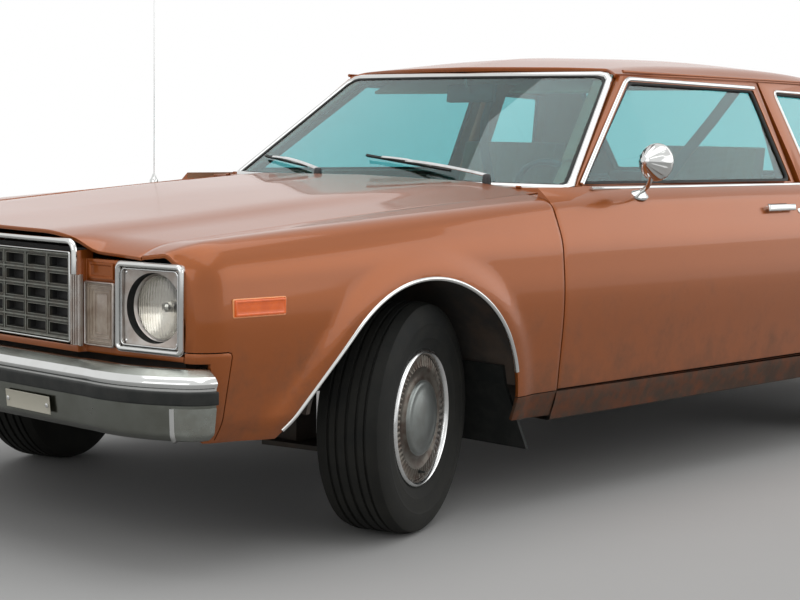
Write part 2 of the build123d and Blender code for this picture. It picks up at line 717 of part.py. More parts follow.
# Grille: an egg crate of deep cells
GRILLE_COLUMNS = 12
GRILLE_ROWS = 5
GRILLE_BAR = 11.0
GRILLE_FACE = 58.0
GRILLE_DEPTH = 40.0
cell_wide = (2 * (GRILLE_HALF - SEAM) - GRILLE_BAR) / GRILLE_COLUMNS
cell_high = (GRILLE_HIGH - GRILLE_LOW - 2 * SEAM - GRILLE_BAR) / GRILLE_ROWS
grille_middle = (GRILLE_LOW + GRILLE_HIGH) / 2
with BuildPart() as grille:
    with BuildSketch(Plane.XZ.offset(-at(GRILLE_FACE))):
        with Locations((0, grille_middle)):
            Rectangle(2 * (GRILLE_HALF - SEAM), GRILLE_HIGH - GRILLE_LOW - 2 * SEAM)
            with GridLocations(cell_wide, cell_high, GRILLE_COLUMNS, GRILLE_ROWS):
                Rectangle(cell_wide - GRILLE_BAR, cell_high - GRILLE_BAR, mode=Mode.SUBTRACT)
    extrude(amount=-GRILLE_DEPTH)
save(grille.part, "grille")

# Headlamp bezels and lamps, on the slanted face
BEZEL_PROUD = 5.0
BEZEL_DEPTH = 52.0
LAMP_SETBACK = 26.0
LAMP_DEPTH = 24.0
slant = atan2(NOSE_PLAN[4][1] - NOSE_PLAN[3][1], NOSE_PLAN[4][0] - NOSE_PLAN[3][0])
bezel_centre = ((BEZEL_INNER + BEZEL_OUTER) / 2, (NOSE_PLAN[3][1] + NOSE_PLAN[4][1]) / 2)
lamp_plane = Plane(
    origin=(bezel_centre[0], at(bezel_centre[1] - BEZEL_PROUD), (LAMP_LOW + LAMP_HIGH) / 2),
    x_dir=(cos(slant), sin(slant), 0),
    z_dir=(sin(slant), -cos(slant), 0),
)
bezel_plan = [
    (BEZEL_INNER + SEAM, NOSE_PLAN[3][1] - BEZEL_PROUD),
    (BEZEL_OUTER - SEAM, NOSE_PLAN[4][1] - BEZEL_PROUD),
    (BEZEL_OUTER - SEAM, NOSE_PLAN[4][1] - BEZEL_PROUD + BEZEL_DEPTH),
    (BEZEL_INNER + SEAM, NOSE_PLAN[3][1] - BEZEL_PROUD + BEZEL_DEPTH),
]
with BuildPart() as bezel_left:
    add(prism_z(bezel_plan, LAMP_LOW + SEAM, LAMP_HIGH))
    with BuildSketch(lamp_plane):
        Rectangle(BEZEL_OUTER - BEZEL_INNER - 22, LAMP_HIGH - LAMP_LOW - 22)
    extrude(amount=-12, mode=Mode.SUBTRACT)
    with BuildSketch(lamp_plane):
        Circle(HEADLAMP_RADIUS + SEAM)
    extrude(amount=-BEZEL_DEPTH * 2, mode=Mode.SUBTRACT)
with BuildPart() as headlamp_bezels:
    add(bezel_left.part)
    add(mirrored(bezel_left.part))
save(headlamp_bezels.part, "headlamp_bezels")

with BuildPart() as lamp_left:
    with BuildSketch(lamp_plane.offset(-LAMP_SETBACK)):
        Circle(HEADLAMP_RADIUS)
    extrude(amount=-LAMP_DEPTH)
turn_plan = [(TURN_INNER + SEAM, 82), (TURN_OUTER - SEAM, 90), (TURN_OUTER - SEAM, 124), (TURN_INNER + SEAM, 116)]
with BuildPart() as front_lamps:
    add(lamp_left.part)
    add(mirrored(lamp_left.part))
    turn_lamp = prism_z(turn_plan, TURN_LOW + SEAM, TURN_HIGH - SEAM)
    add(turn_lamp)
    add(mirrored(turn_lamp))
save(front_lamps.part, "front_lamps")

# Side marker lamps, seated on the skins
fender_body = side_solid(FENDER_SECTIONS)
side_body = side_solid(SIDE_SECTIONS)
with BuildPart() as marker_front:
    add(block(880, 911, 231, 393, 647, 692))
    add(fender_body, mode=Mode.SUBTRACT)
with BuildPart() as marker_rear:
    add(block(830, 897, 4560, 4722, 647, 692))
    add(side_body, mode=Mode.SUBTRACT)
with BuildPart() as side_markers:
    for piece in (marker_front.part, marker_rear.part):
        add(piece)
        add(mirrored(piece))
save(side_markers.part, "side_markers")

# Bumpers: a chrome bar that wraps the corners.
# Columns: height, inset of the face behind the rubber strip
BUMPER_LAYERS = [(356, 34), (372, 17), (438, 9), (484, 9), (497, 4), (529, 38)]
BUMPER_WALL = 12.0
STRIP_LOW = 444.0
STRIP_HIGH = 480.0
STRIP_SEAT = 9.0


def bumper_ring(inset, wall, half):
    """Plan outline of a bumper band, inset behind the bumper's ridge."""

    def edge(shift):
        bend = (600, at(9 + shift))
        knee = (790 - 0.6 * shift, at(40 + 0.8 * shift))
        corner = (half - 36 - 0.9 * shift, at(96 + 0.5 * shift))
        flank = (half - 10 - shift, at(132 + 0.2 * shift))
        end = (half - shift, at(172))
        return bend, knee, corner, flank, end

    outer = edge(inset)
    inner = edge(inset + wall)
    with BuildSketch() as ring:
        with BuildLine():
            for bend, knee, corner, flank, end in (outer, inner):
                ThreePointArc(bend, knee, corner)
                ThreePointArc(corner, flank, end)
                ThreePointArc((-bend[0], bend[1]), (-knee[0], knee[1]), (-corner[0], corner[1]))
                ThreePointArc((-corner[0], corner[1]), (-flank[0], flank[1]), (-end[0], end[1]))
                Line((-bend[0], bend[1]), (0, bend[1] - 9))
                Line((0, bend[1] - 9), bend)
            Line(outer[4], inner[4])
            Line((-outer[4][0], outer[4][1]), (-inner[4][0], inner[4][1]))
        make_face()
    return ring.sketch


def bumper_bar(layers, wall, half):
    """A band that follows the bumper's plan through the given heights and insets."""
    with BuildPart() as bar:
        for height, inset in layers:
            with BuildSketch(Plane.XY.offset(height)):
                add(bumper_ring(inset, wall, half))
        loft(ruled=True)
    return bar.part


def turned_back(solid):
    """The same piece at the other end of the car."""
    return mirror(solid, about=Plane.XZ)


FRONT_BUMPER_HALF = 914.0
REAR_BUMPER_HALF = 912.0
STRIP_LAYERS = [(STRIP_LOW, 0), (STRIP_HIGH, 0)]
with BuildPart() as front_bumper:
    add(bumper_bar(BUMPER_LAYERS, BUMPER_WALL, FRONT_BUMPER_HALF))
    for side in (1, -1):
        x_pair = sorted((side * RAIL_INNER, side * RAIL_OUTER))
        add(block(x_pair[0], x_pair[1], 22, 175 - SEAM, 400, 470))
save(front_bumper.part, "front_bumper")
with BuildPart() as rear_bumper:
    add(turned_back(bumper_bar(BUMPER_LAYERS, BUMPER_WALL, REAR_BUMPER_HALF)))
    for side in (1, -1):
        x_pair = sorted((side * RAIL_INNER, side * RAIL_OUTER))
        add(block(x_pair[0], x_pair[1], TAIL_STATION + SEAM, LENGTH - 22, 400, 470))
save(rear_bumper.part, "rear_bumper")
with BuildPart() as bumper_strips:
    add(bumper_bar(STRIP_LAYERS, STRIP_SEAT - SEAM, FRONT_BUMPER_HALF))
    add(turned_back(bumper_bar(STRIP_LAYERS, STRIP_SEAT - SEAM, REAR_BUMPER_HALF)))
save(bumper_strips.part, "bumper_strips")

# Floor pan: toe board, tunnel, kick-up over the axle, trunk floor and rear wheelhouses
FLOOR_TOP = 290.0
KICK_TOP = 470.0
TRUNK_TOP = 440.0
FLOOR_HALF = 770.0
TUNNEL_TOP = 520.0
KICK_START = 2950.0
KICK_END = 3080.0
TAIL_SKIN = 45.0
FLOOR_END = TAIL_STATION - TAIL_SKIN - SEAM
floor_top = [
    (FIREWALL + FIREWALL_SKIN + SEAM, 500),
    (1560, FLOOR_TOP),
    (KICK_START, FLOOR_TOP),
    (KICK_END, KICK_TOP),
    (4030, KICK_TOP),
    (4060, TRUNK_TOP),
    (FLOOR_END, TRUNK_TOP),
]
floor_under = [
    (FLOOR_END, TRUNK_TOP - FLOOR_SKIN),
    (4054, TRUNK_TOP - FLOOR_SKIN),
    (4024, KICK_TOP - FLOOR_SKIN),
    (KICK_END + 6, KICK_TOP - FLOOR_SKIN),
    (KICK_START + 6, FLOOR_TOP - FLOOR_SKIN),
    (1554, FLOOR_TOP - FLOOR_SKIN),
    (FIREWALL + FIREWALL_SKIN + SEAM, 480),
]
tunnel_outer = [(-186, FLOOR_TOP - FLOOR_SKIN), (-160, TUNNEL_TOP), (160, TUNNEL_TOP), (186, FLOOR_TOP - FLOOR_SKIN)]
tunnel_inner = [(-172, FLOOR_TOP - FLOOR_SKIN - 60), (-146, TUNNEL_TOP - 14), (146, TUNNEL_TOP - 14), (172, FLOOR_TOP - FLOOR_SKIN - 60)]
HOUSE_INNER = 588.0
HOUSE_RADIUS = REAR_ARCH_RADIUS + LINER_ROOM
with BuildPart() as rear_house:
    add(round_arch(REAR_AXLE, HOUSE_RADIUS + LINER_SKIN, HOUSE_INNER))
    add(round_arch(REAR_AXLE, HOUSE_RADIUS, HOUSE_INNER + LINER_SKIN), mode=Mode.SUBTRACT)
    add(block(0, FAR * 2, AHEAD, BEHIND, BELOW - 1, SILL_TOP + SEAM), mode=Mode.SUBTRACT)
    add(block(0, HOUSE_INNER + LINER_SKIN + 1, AHEAD, BEHIND, BELOW - 1, KICK_TOP - FLOOR_SKIN), mode=Mode.SUBTRACT)
    add(side_hollow, mode=Mode.INTERSECT)
SPRING_X = (546.0, 606.0)
SPRING_FRONT = 3040.0
SPRING_REAR = 4410.0
with BuildPart() as floor_pan:
    add(prism_x(floor_top + floor_under, -FLOOR_HALF + SEAM, FLOOR_HALF - SEAM))
    add(prism_y(tunnel_outer, FIREWALL + FIREWALL_SKIN + SEAM, KICK_END + 5))
    add(prism_y(tunnel_inner, FIREWALL, KICK_END + 6), mode=Mode.SUBTRACT)
    for x_from, x_to in ((756 - SEAM, 800), (-800, SEAM - 756)):
        add(block(x_from, x_to, 1300, FENDER_END - 2 + SEAM, 200, 600), mode=Mode.SUBTRACT)
    wheel_room = round_arch(REAR_AXLE, HOUSE_RADIUS, HOUSE_INNER + LINER_SKIN)
    add(wheel_room, mode=Mode.SUBTRACT)
    add(mirrored(wheel_room), mode=Mode.SUBTRACT)
    for x_from, x_to in (SPRING_X, (-SPRING_X[1], -SPRING_X[0])):
        add(block(x_from, x_to, SPRING_FRONT - 30, SPRING_FRONT + 30, 330, 404))
        add(block(x_from, x_to, SPRING_REAR - 25, SPRING_REAR + 25, 380, 430))
    add(rear_house.part)
    add(mirrored(rear_house.part))
save(floor_pan.part, "floor_pan")

# Rocker panels under the doors
ROCKER_END = REAR_AXLE - REAR_ARCH_RADIUS - ARCH_LIP - SEAM
with BuildPart() as rocker_left:
    add(side_body)
    add(block(FLOOR_HALF, FAR, FENDER_END + SEAM, ROCKER_END, 262, SILL_TOP), mode=Mode.INTERSECT)
with BuildPart() as rockers:
    add(rocker_left.part)
    add(mirrored(rocker_left.part))
save(rockers.part, "rockers")

# Tail panel with its lamps, deck panel with the parcel shelf, and the trunk lid
TAIL_TOP = 846.0
TAIL_LOW = 352.0
LAMP_X = (430.0, 764.0)
LAMP_Z = (604.0, 764.0)
PLATE_HOLE_RADIUS = 3.5
PLATE_HOLE_SPACING = 178.0
PLATE_HEIGHT = 700.0
with BuildPart() as tail_half:
    add(block(0, FAR, FLOOR_END + SEAM, TAIL_STATION, TAIL_LOW, TAIL_TOP))
    add(side_hollow, mode=Mode.INTERSECT)
    add(tail_corner, mode=Mode.SUBTRACT)
    add(block(LAMP_X[0], LAMP_X[1], TAIL_STATION - 26, TAIL_STATION + 1, LAMP_Z[0], LAMP_Z[1]), mode=Mode.SUBTRACT)
with BuildPart() as tail_panel:
    add(tail_half.part)
    add(mirrored(tail_half.part))
    with BuildSketch(Plane.XZ.offset(-at(TAIL_STATION + 10))):
        with Locations((-PLATE_HOLE_SPACING / 2, PLATE_HEIGHT), (PLATE_HOLE_SPACING / 2, PLATE_HEIGHT)):
            Circle(PLATE_HOLE_RADIUS)
    extrude(amount=TAIL_SKIN + 20, mode=Mode.SUBTRACT)
save(tail_panel.part, "tail_panel")
with BuildPart() as tail_lamps:
    lens = block(LAMP_X[0] + SEAM, LAMP_X[1] - SEAM, TAIL_STATION - 26, TAIL_STATION + 8, LAMP_Z[0] + SEAM, LAMP_Z[1] - SEAM)
    add(lens)
    add(mirrored(lens))
save(tail_lamps.part, "tail_lamps")

DECK_TOP = 938.0
DECK_REAR = 4008.0
DECK_HALF = 737.2
with BuildPart() as deck_panel:
    add(block(-710, 710, 3880, DECK_REAR, 896, DECK_TOP))
    add(block(-DECK_HALF, DECK_HALF, 3985 + SEAM, DECK_REAR, 896, DECK_TOP))
    add(block(-DECK_HALF, DECK_HALF, 3560, 3881, 880, 896 + 1))
    add(rear_window_pocket, mode=Mode.SUBTRACT)
    add(fixed_lug(TRUNK_PIVOT, -8))
    add(mirrored(fixed_lug(TRUNK_PIVOT, -8)))
save(deck_panel.part, "deck_panel")

# Columns as for the hood
TRUNK_SECTIONS = [
    (DECK_REAR + LID_GAP, 961, (420, 957), (560, 950), (751 - LID_GAP, 940)),
    (4400, 951, (420, 947), (560, 940), (736 - LID_GAP, 930)),
    (4940, 912, (400, 909), (540, 901), (697 - LID_GAP, 887)),
]
with BuildPart() as trunk_lid:
    add(lid(TRUNK_SECTIONS, LID_SKIN))
    add(moving_lug(TRUNK_PIVOT, 12))
    add(mirrored(moving_lug(TRUNK_PIVOT, 12)))
save(trunk_lid.part, "trunk_lid")

# Wheels about their own axis, +X outward


def faceted(sections, sides):
    """A many-sided turned shape along X. Columns: x, distance from the axis to a flat."""
    with BuildPart() as shape:
        for (x, radius), (x_next, radius_next) in zip(sections, sections[1:]):
            with BuildSketch(Plane.YZ.offset(x)):
                RegularPolygon(radius, sides, major_radius=False, rotation=180 / sides)
            lean = degrees(atan2(radius - radius_next, x_next - x))
            extrude(amount=x_next - x, taper=lean)
    return shape.part


WHEEL_SIDES = 28
CAP_SIDES = 16
DISC_BACK = 46.0
DISC_FACE = 56.0
half_rim = RIM_WIDTH / 2
with BuildPart() as rim:
    add(faceted([(-half_rim, BEAD_RADIUS), (half_rim, BEAD_RADIUS)], WHEEL_SIDES))
    add(faceted([(half_rim - 1, 177), (half_rim + 6, 177)], WHEEL_SIDES))
    add(faceted([(-half_rim - 1, BARREL_RADIUS), (DISC_BACK, BARREL_RADIUS)], WHEEL_SIDES), mode=Mode.SUBTRACT)
    add(faceted([(DISC_FACE, 158), (half_rim + 7, 164)], WHEEL_SIDES), mode=Mode.SUBTRACT)
    add(faceted([(DISC_FACE - 1, 104), (64, 92), (73, 70), (79, 40)], CAP_SIDES))
    add(faceted([(-12, HUB_RADIUS), (DISC_BACK + 1, HUB_RADIUS)], CAP_SIDES))
    with BuildSketch(Plane.YZ.offset(-13)):
        Circle(SPINDLE_RADIUS + RUNNING)
    extrude(amount=DISC_BACK - 2 + 13, mode=Mode.SUBTRACT)
half_tyre = TYRE_WIDTH / 2
tread_edges = [(-half_tyre, 290), (-88, 313), (-68, TYRE_RADIUS), (68, TYRE_RADIUS), (88, 313), (half_tyre, 290)]
tyre_room = [(-half_tyre - 1, 219), (-72, BEAD_RADIUS + SEAM), (72, BEAD_RADIUS + SEAM), (half_tyre + 1, 219)]
with BuildPart() as tyre:
    add(faceted(tread_edges, WHEEL_SIDES))
    add(faceted(tyre_room, WHEEL_SIDES), mode=Mode.SUBTRACT)


def place(solid, x, station, height, turn=0.0):
    """A copy at a point of the car, turned about the vertical."""
    with BuildPart() as moved:
        with Locations(Location((x, at(station), height), (0, 0, turn))):
            add(solid)
    return moved.part


# Front knuckles about the kingpin, and the steered wheels
UPRIGHT_HALF = 16.0
PIN_PAST = 8.0
spindle_end = KINGPIN_OFFSET + 38.0
with BuildPart() as knuckle:
    upright_low = LOWER_ARM[1] + 3 - HUB_HEIGHT
    upright_high = UPPER_ARM[0] - 3 - HUB_HEIGHT
    with BuildSketch(Plane.XY.offset(upright_low)):
        Rectangle(2 * UPRIGHT_HALF, 50)
    extrude(amount=upright_high - upright_low)
    with BuildSketch(Plane.XY.offset(LOWER_ARM[0] - PIN_PAST - HUB_HEIGHT)):
        Circle(PIN_RADIUS)
    extrude(amount=UPPER_ARM[1] + PIN_PAST - LOWER_ARM[0] + PIN_PAST)
    with BuildSketch(Plane.YZ):
        Circle(SPINDLE_RADIUS)
    extrude(amount=spindle_end)
    add(faceted([(UPRIGHT_HALF + 6, 98), (UPRIGHT_HALF + 12, 98)], CAP_SIDES))
    add(faceted([(0, 34), (UPRIGHT_HALF + 8, 34)], 12))
with BuildPart() as rim_on_knuckle:
    with Locations((KINGPIN_OFFSET, 0, 0)):
        add(rim.part)
with BuildPart() as tyre_on_knuckle:
    with Locations((KINGPIN_OFFSET, 0, 0)):
        add(tyre.part)
for side, x in (("left", KINGPIN_X), ("right", -KINGPIN_X)):
    for name, solid in (("knuckle", knuckle.part), ("rim_front", rim_on_knuckle.part), ("tyre_front", tyre_on_knuckle.part)):
        local = solid if side == "left" else mirrored(solid)
        save(place(local, x, FRONT_AXLE, HUB_HEIGHT, STEER_AT_REST), f"{name}_{side}")
for side, sign in (("left", 1), ("right", -1)):
    for name, solid in (("rim_rear", rim.part), ("tyre_rear", tyre.part)):
        local = solid if side == "left" else mirrored(solid)
        save(place(local, sign * REAR_TRACK / 2, REAR_AXLE, HUB_HEIGHT), f"{name}_{side}")

# Rear axle with its spindles, differential and driveshaft
AXLE_RADIUS = 38.0
AXLE_END = REAR_TRACK / 2 - 40.0
PERCH_LOW = 268.0
with BuildPart() as rear_axle:
    with Locations((0, at(REAR_AXLE), HUB_HEIGHT)):
        add(faceted([(-AXLE_END, AXLE_RADIUS), (AXLE_END, AXLE_RADIUS)], 12))
        add(faceted([(-112, 56), (-46, 114), (46, 114), (112, 56)], 12))
        for x_from in (-AXLE_END, AXLE_END - 8):
            add(faceted([(x_from, 100), (x_from + 8, 100)], 12))
    with BuildSketch(Plane.YZ.offset(-REAR_TRACK / 2 - 38)):
        with Locations((at(REAR_AXLE), HUB_HEIGHT)):
            Circle(SPINDLE_RADIUS)
    extrude(amount=REAR_TRACK + 76)
    with BuildSketch(Plane.XZ.offset(-at(2000 + SEAM))):
        with Locations((0, HUB_HEIGHT)):
            RegularPolygon(34, 12)
    extrude(amount=2000 + SEAM - REAR_AXLE)
    for x_from, x_to in (SPRING_X, (-SPRING_X[1], -SPRING_X[0])):
        add(block(x_from, x_to, REAR_AXLE - 60, REAR_AXLE + 60, PERCH_LOW, HUB_HEIGHT))
save(rear_axle.part, "rear_axle")

# Leaf springs under the axle
leaf_top = [(SPRING_FRONT - 30, 330 - SEAM), (SPRING_FRONT + 30, 330 - SEAM), (REAR_AXLE - 120, PERCH_LOW - SEAM), (REAR_AXLE + 120, PERCH_LOW - SEAM), (SPRING_REAR - 25, 380 - SEAM), (SPRING_REAR + 25, 380 - SEAM)]
leaf_under = [(station, height - 26) for station, height in reversed(leaf_top)]
with BuildPart() as leaf_springs:
    leaf = prism_x(leaf_top + leaf_under, SPRING_X[0], SPRING_X[1])
    add(leaf)
    add(mirrored(leaf))
save(leaf_springs.part, "leaf_springs")

# Exhaust: pipe, muffler and tailpipe
PIPE_RADIUS = 22.0
PIPE_X = -320.0
PIPE_ROUTE = [
    (-ENGINE_HALF, 1230, 345),
    (PIPE_X, 1230, 345),
    (PIPE_X, 1420, 214),
    (PIPE_X, 3240, 214),
    (PIPE_X, 3440, 402),
    (PIPE_X, 3900, 402),
    (PIPE_X, 4100, 310),
    (PIPE_X, 4200, 310),
]
MUFFLER = (4190.0, 4600.0)
PIPE_END = 4985.0
ROUND_END = 100.0
with BuildPart() as exhaust:
    with BuildLine() as route:
        Polyline(*[(x, at(station), z) for x, station, z in PIPE_ROUTE])
    with BuildSketch(Plane(origin=route.wires()[0] @ 0, z_dir=route.wires()[0] % 0)):
        RegularPolygon(PIPE_RADIUS, 10)
    sweep(transition=Transition.RIGHT)
    with BuildSketch(Plane.XZ.offset(-at(MUFFLER[0]))):
        with Locations((PIPE_X, 310)):
            RegularPolygon(80, 16)
    extrude(amount=MUFFLER[0] - MUFFLER[1])
    with BuildSketch(Plane.XZ.offset(-at(MUFFLER[1] - 1))):
        with Locations((PIPE_X, 310)):
            RegularPolygon(PIPE_RADIUS + 3, 10, major_radius=False)
    extrude(amount=MUFFLER[1] - 1 - PIPE_END + ROUND_END)
    with BuildSketch(Plane.XZ.offset(-at(PIPE_END - ROUND_END - 1))):
        with Locations((PIPE_X, 310)):
            Circle(PIPE_RADIUS)
    extrude(amount=-ROUND_END - 1)
    add(block(PIPE_X - 10, PIPE_X + 10, 4380, 4410, 380, TRUNK_TOP - FLOOR_SKIN - SEAM))
    add(block(PIPE_X - 10, PIPE_X + 10, 2480, 2510, 225, FLOOR_TOP - FLOOR_SKIN - SEAM))
save(exhaust.part, "exhaust")

# Fuel tank under the trunk floor
with BuildPart() as fuel_tank:
    add(block(-210, 520, 4190, 4680, 262, TRUNK_TOP - FLOOR_SKIN - SEAM))
    fillet(fuel_tank.edges().filter_by(Axis.Z), radius=40)
save(fuel_tank.part, "fuel_tank")

# Dashboard, steering column and steering wheel
WHEEL_CENTRE = (370.0, 2150.0, 845.0)
COLUMN_SLOPE = 26.0
COLUMN_RADIUS = 34.0
SHAFT_RADIUS = 12.0
DASH_PROFILE = [(COWL_REAR + SEAM, 926), (1950, 916), (2000, 884), (1996, 800), (1930, 720), (1900, 640), (COWL_REAR + SEAM, 640)]
column_dir = (0, cos(radians(COLUMN_SLOPE)), sin(radians(COLUMN_SLOPE)))
wheel_plane = Plane(origin=(WHEEL_CENTRE[0], at(WHEEL_CENTRE[1]), WHEEL_CENTRE[2]), x_dir=(1, 0, 0), z_dir=column_dir)
with BuildPart() as steering_column:
    with BuildSketch(wheel_plane.offset(-300)):
        RegularPolygon(COLUMN_RADIUS, 12, major_radius=False)
    extrude(amount=250)
    with BuildSketch(wheel_plane.offset(-110)):
        Circle(SHAFT_RADIUS + RUNNING)
    extrude(amount=80, mode=Mode.SUBTRACT)
save(steering_column.part, "steering_column")
with BuildPart() as dashboard:
    add(prism_x(DASH_PROFILE, -735, 735))
    with BuildSketch(wheel_plane.offset(-340)):
        RegularPolygon(COLUMN_RADIUS + SEAM, 12, major_radius=False)
    extrude(amount=300, mode=Mode.SUBTRACT)
save(dashboard.part, "dashboard")
SPOKE_ANGLES = (-25, 205)
RIM_MAJOR = 178.0
RIM_MINOR = 12.0
with BuildPart() as steering_wheel_flat:
    with BuildSketch():
        RegularPolygon(RIM_MAJOR + RIM_MINOR, 24)
        RegularPolygon(RIM_MAJOR - RIM_MINOR, 24, mode=Mode.SUBTRACT)
    extrude(amount=RIM_MINOR, both=True)
    with BuildSketch():
        RegularPolygon(42, 16)
    extrude(amount=17, both=True)
    for angle in SPOKE_ANGLES:
        with Locations(Location((0, 0, 0), (0, 0, angle))):
            Box(RIM_MAJOR, 34, 12, align=(Align.MIN, Align.CENTER, Align.CENTER))
    with Locations((0, 0, -105)):
        Cylinder(SHAFT_RADIUS, 100, align=(Align.CENTER, Align.CENTER, Align.MIN))
with BuildPart() as steering_wheel:
    with Locations(wheel_plane.location):
        add(steering_wheel_flat.part)
save(steering_wheel.part, "steering_wheel")

# Seats. Columns of the profiles: station, height
SEAT_PROFILE = [
    (2260, 400), (2250, 520), (2290, 565), (2690, 535), (2840, 1080), (2930, 1085), (2945, 1040), (2830, 430), (2800, 400),
]
REAR_SEAT_PROFILE = [
    (3106, KICK_TOP + SEAM), (3094, 600), (3130, 625), (3400, 600), (3500, 879), (3545, 879), (3540, KICK_TOP + SEAM),
]
with BuildPart() as seat_left:
    add(prism_x(SEAT_PROFILE, 200, 690))
    add(block(250, 640, 2340, 2740, FLOOR_TOP + SEAM, 401))
with BuildPart() as front_seats:
    add(seat_left.part)
    add(mirrored(seat_left.part))
save(front_seats.part, "front_seats")
with BuildPart() as rear_seat:
    add(prism_x(REAR_SEAT_PROFILE, -570, 570))
save(rear_seat.part, "rear_seat")

# Mud flaps behind the front wheels
with BuildPart() as mud_flaps:
    flap = prism_x([(1296, 440), (1306, 440), (1319.4, 384), (1424, 183), (1414, 183), (1309, 384)], 600, 850)
    add(flap)
    add(mirrored(flap))
save(mud_flaps.part, "mud_flaps")

# Antenna on the right fender
ANTENNA_TIP = 1690.0
with BuildPart() as antenna:
    with BuildSketch(Plane.XY.offset(900)):
        with Locations((-778, at(1333))):
            RegularPolygon(14, 12)
    extrude(amount=60)
    with BuildSketch(Plane.XY.offset(930)):
        with Locations((-778, at(1333))):
            RegularPolygon(3, 6)
    extrude(amount=ANTENNA_TIP - 930)
    add(mirrored(fender_body), mode=Mode.SUBTRACT)
save(antenna.part, "antenna")

# Wipers on the cowl: pivot, arm and blade
WIPERS = [
    # pivot x and station, blade ends (x, station, height)
    ((518, 1597), (-81, 1676, 1014), (330, 1637, 970)),
    ((-230, 1597), (-650, 1739, 1000), (-330, 1637, 970)),
]
with BuildPart() as wipers:
    for (pivot_x, pivot_station), tip, tail in WIPERS:
        with BuildSketch(Plane.XY.offset(COWL_TOP + SEAM)):
            with Locations((pivot_x, at(pivot_station))):
                RegularPolygon(8, 8)
        extrude(amount=30)
        pivot = Vector(pivot_x, at(pivot_station), COWL_TOP + 24)
        blade_tip = Vector(tip[0], at(tip[1]), tip[2])
        blade_tail = Vector(tail[0], at(tail[1]), tail[2])
        middle = (blade_tip + blade_tail) * 0.5
        for start, end, radius in ((pivot, middle, 6), (blade_tail, blade_tip, 7)):
            along = end - start
            with BuildSketch(Plane(origin=start, z_dir=along)):
                RegularPolygon(radius, 6)
            extrude(amount=along.length)
save(wipers.part, "wipers")

# Door handles, and the round mirror on the driver's door
with BuildPart() as handle:
    add(block(880, 904, 2622, 2790, 852, 876))
    add(block(846, 881, 2636, 2664, 856, 872))
    add(block(846, 881, 2750, 2778, 856, 872))
    add(side_body, mode=Mode.SUBTRACT)
MIRROR_RADIUS = 56.0
MIRROR_CENTRE = (930.0, 1878.0, 1021.0)
MIRROR_FOOT = (848.0, 1942.0, 924.0)
head_plane = Plane(origin=(MIRROR_CENTRE[0], at(MIRROR_CENTRE[1]), MIRROR_CENTRE[2]), x_dir=(1, 0, 0), z_dir=(0, -1, 0))
with BuildPart() as mirror_left:
    with BuildSketch(head_plane.offset(-30)):
        RegularPolygon(MIRROR_RADIUS, 20)
    with BuildSketch(head_plane.offset(38)):
        RegularPolygon(24, 20)
    loft()
    stalk_top = Vector(924, at(1888), 986)
    stalk_foot = Vector(MIRROR_FOOT[0], at(MIRROR_FOOT[1]), MIRROR_FOOT[2])
    with BuildSketch(Plane(origin=stalk_top, z_dir=stalk_foot - stalk_top)):
        RegularPolygon(9, 8)
    extrude(amount=(stalk_foot - stalk_top).length)
    with BuildSketch(Plane(origin=stalk_foot, z_dir=(0.42, 0, 0.9)).offset(-20)):
        RegularPolygon(30, 12)
    extrude(amount=30)
    add(side_body, mode=Mode.SUBTRACT)
with BuildPart() as fittings_left:
    add(handle.part)
    add(mirror_left.part)
save(fittings_left.part, "door_fittings_left")
save(mirrored(handle.part), "door_fittings_right")
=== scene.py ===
"""A two-door compact car in copper paint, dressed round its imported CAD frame.

Frame: +Z up, the nose faces -Y, the driver's (left) side is +X, and the origin is on the ground
under the middle of the car. The tables give millimetres. A station is a distance behind the front
bumper's face.
"""

import math

import bmesh
import bpy
import numpy as np
from mathutils import Matrix, Vector


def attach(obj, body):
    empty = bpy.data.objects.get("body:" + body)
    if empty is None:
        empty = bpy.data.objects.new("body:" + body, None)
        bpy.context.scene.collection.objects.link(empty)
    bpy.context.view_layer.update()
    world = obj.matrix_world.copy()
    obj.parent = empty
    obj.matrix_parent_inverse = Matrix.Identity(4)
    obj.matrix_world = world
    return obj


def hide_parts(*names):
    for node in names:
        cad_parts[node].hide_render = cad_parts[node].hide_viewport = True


bl_info = {
    "name": "Compact Car",
    "version": (1, 0, 0),
    "blender": (4, 5, 0),
    "location": "View3D > Sidebar > Car",
    "description": "Builds the panels, trim, wheels and cabin of a two-door compact car",
    "category": "Object",
}

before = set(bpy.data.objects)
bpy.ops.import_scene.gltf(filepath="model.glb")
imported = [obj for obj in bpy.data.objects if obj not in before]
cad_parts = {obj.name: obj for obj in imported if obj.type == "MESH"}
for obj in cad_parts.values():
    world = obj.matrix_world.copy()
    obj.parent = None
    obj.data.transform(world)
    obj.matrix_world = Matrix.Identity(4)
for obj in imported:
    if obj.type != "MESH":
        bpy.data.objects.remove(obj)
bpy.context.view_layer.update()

MM = 0.001
LENGTH = 5017.0
FRONT_AXLE = 925.0
REAR_AXLE = 3686.0
HUB_HEIGHT = 320.0
FENDER_END = 1494.0
DOOR_FRONT = 1500.0
DOOR_REAR = 2944.0
QUARTER_FRONT = 2956.0
TAIL_STATION = 4925.0
SILL_TOP = 352.0
BELT = 945.0
RAIL = 1290.0
SIDES = (("left", 1), ("right", -1))

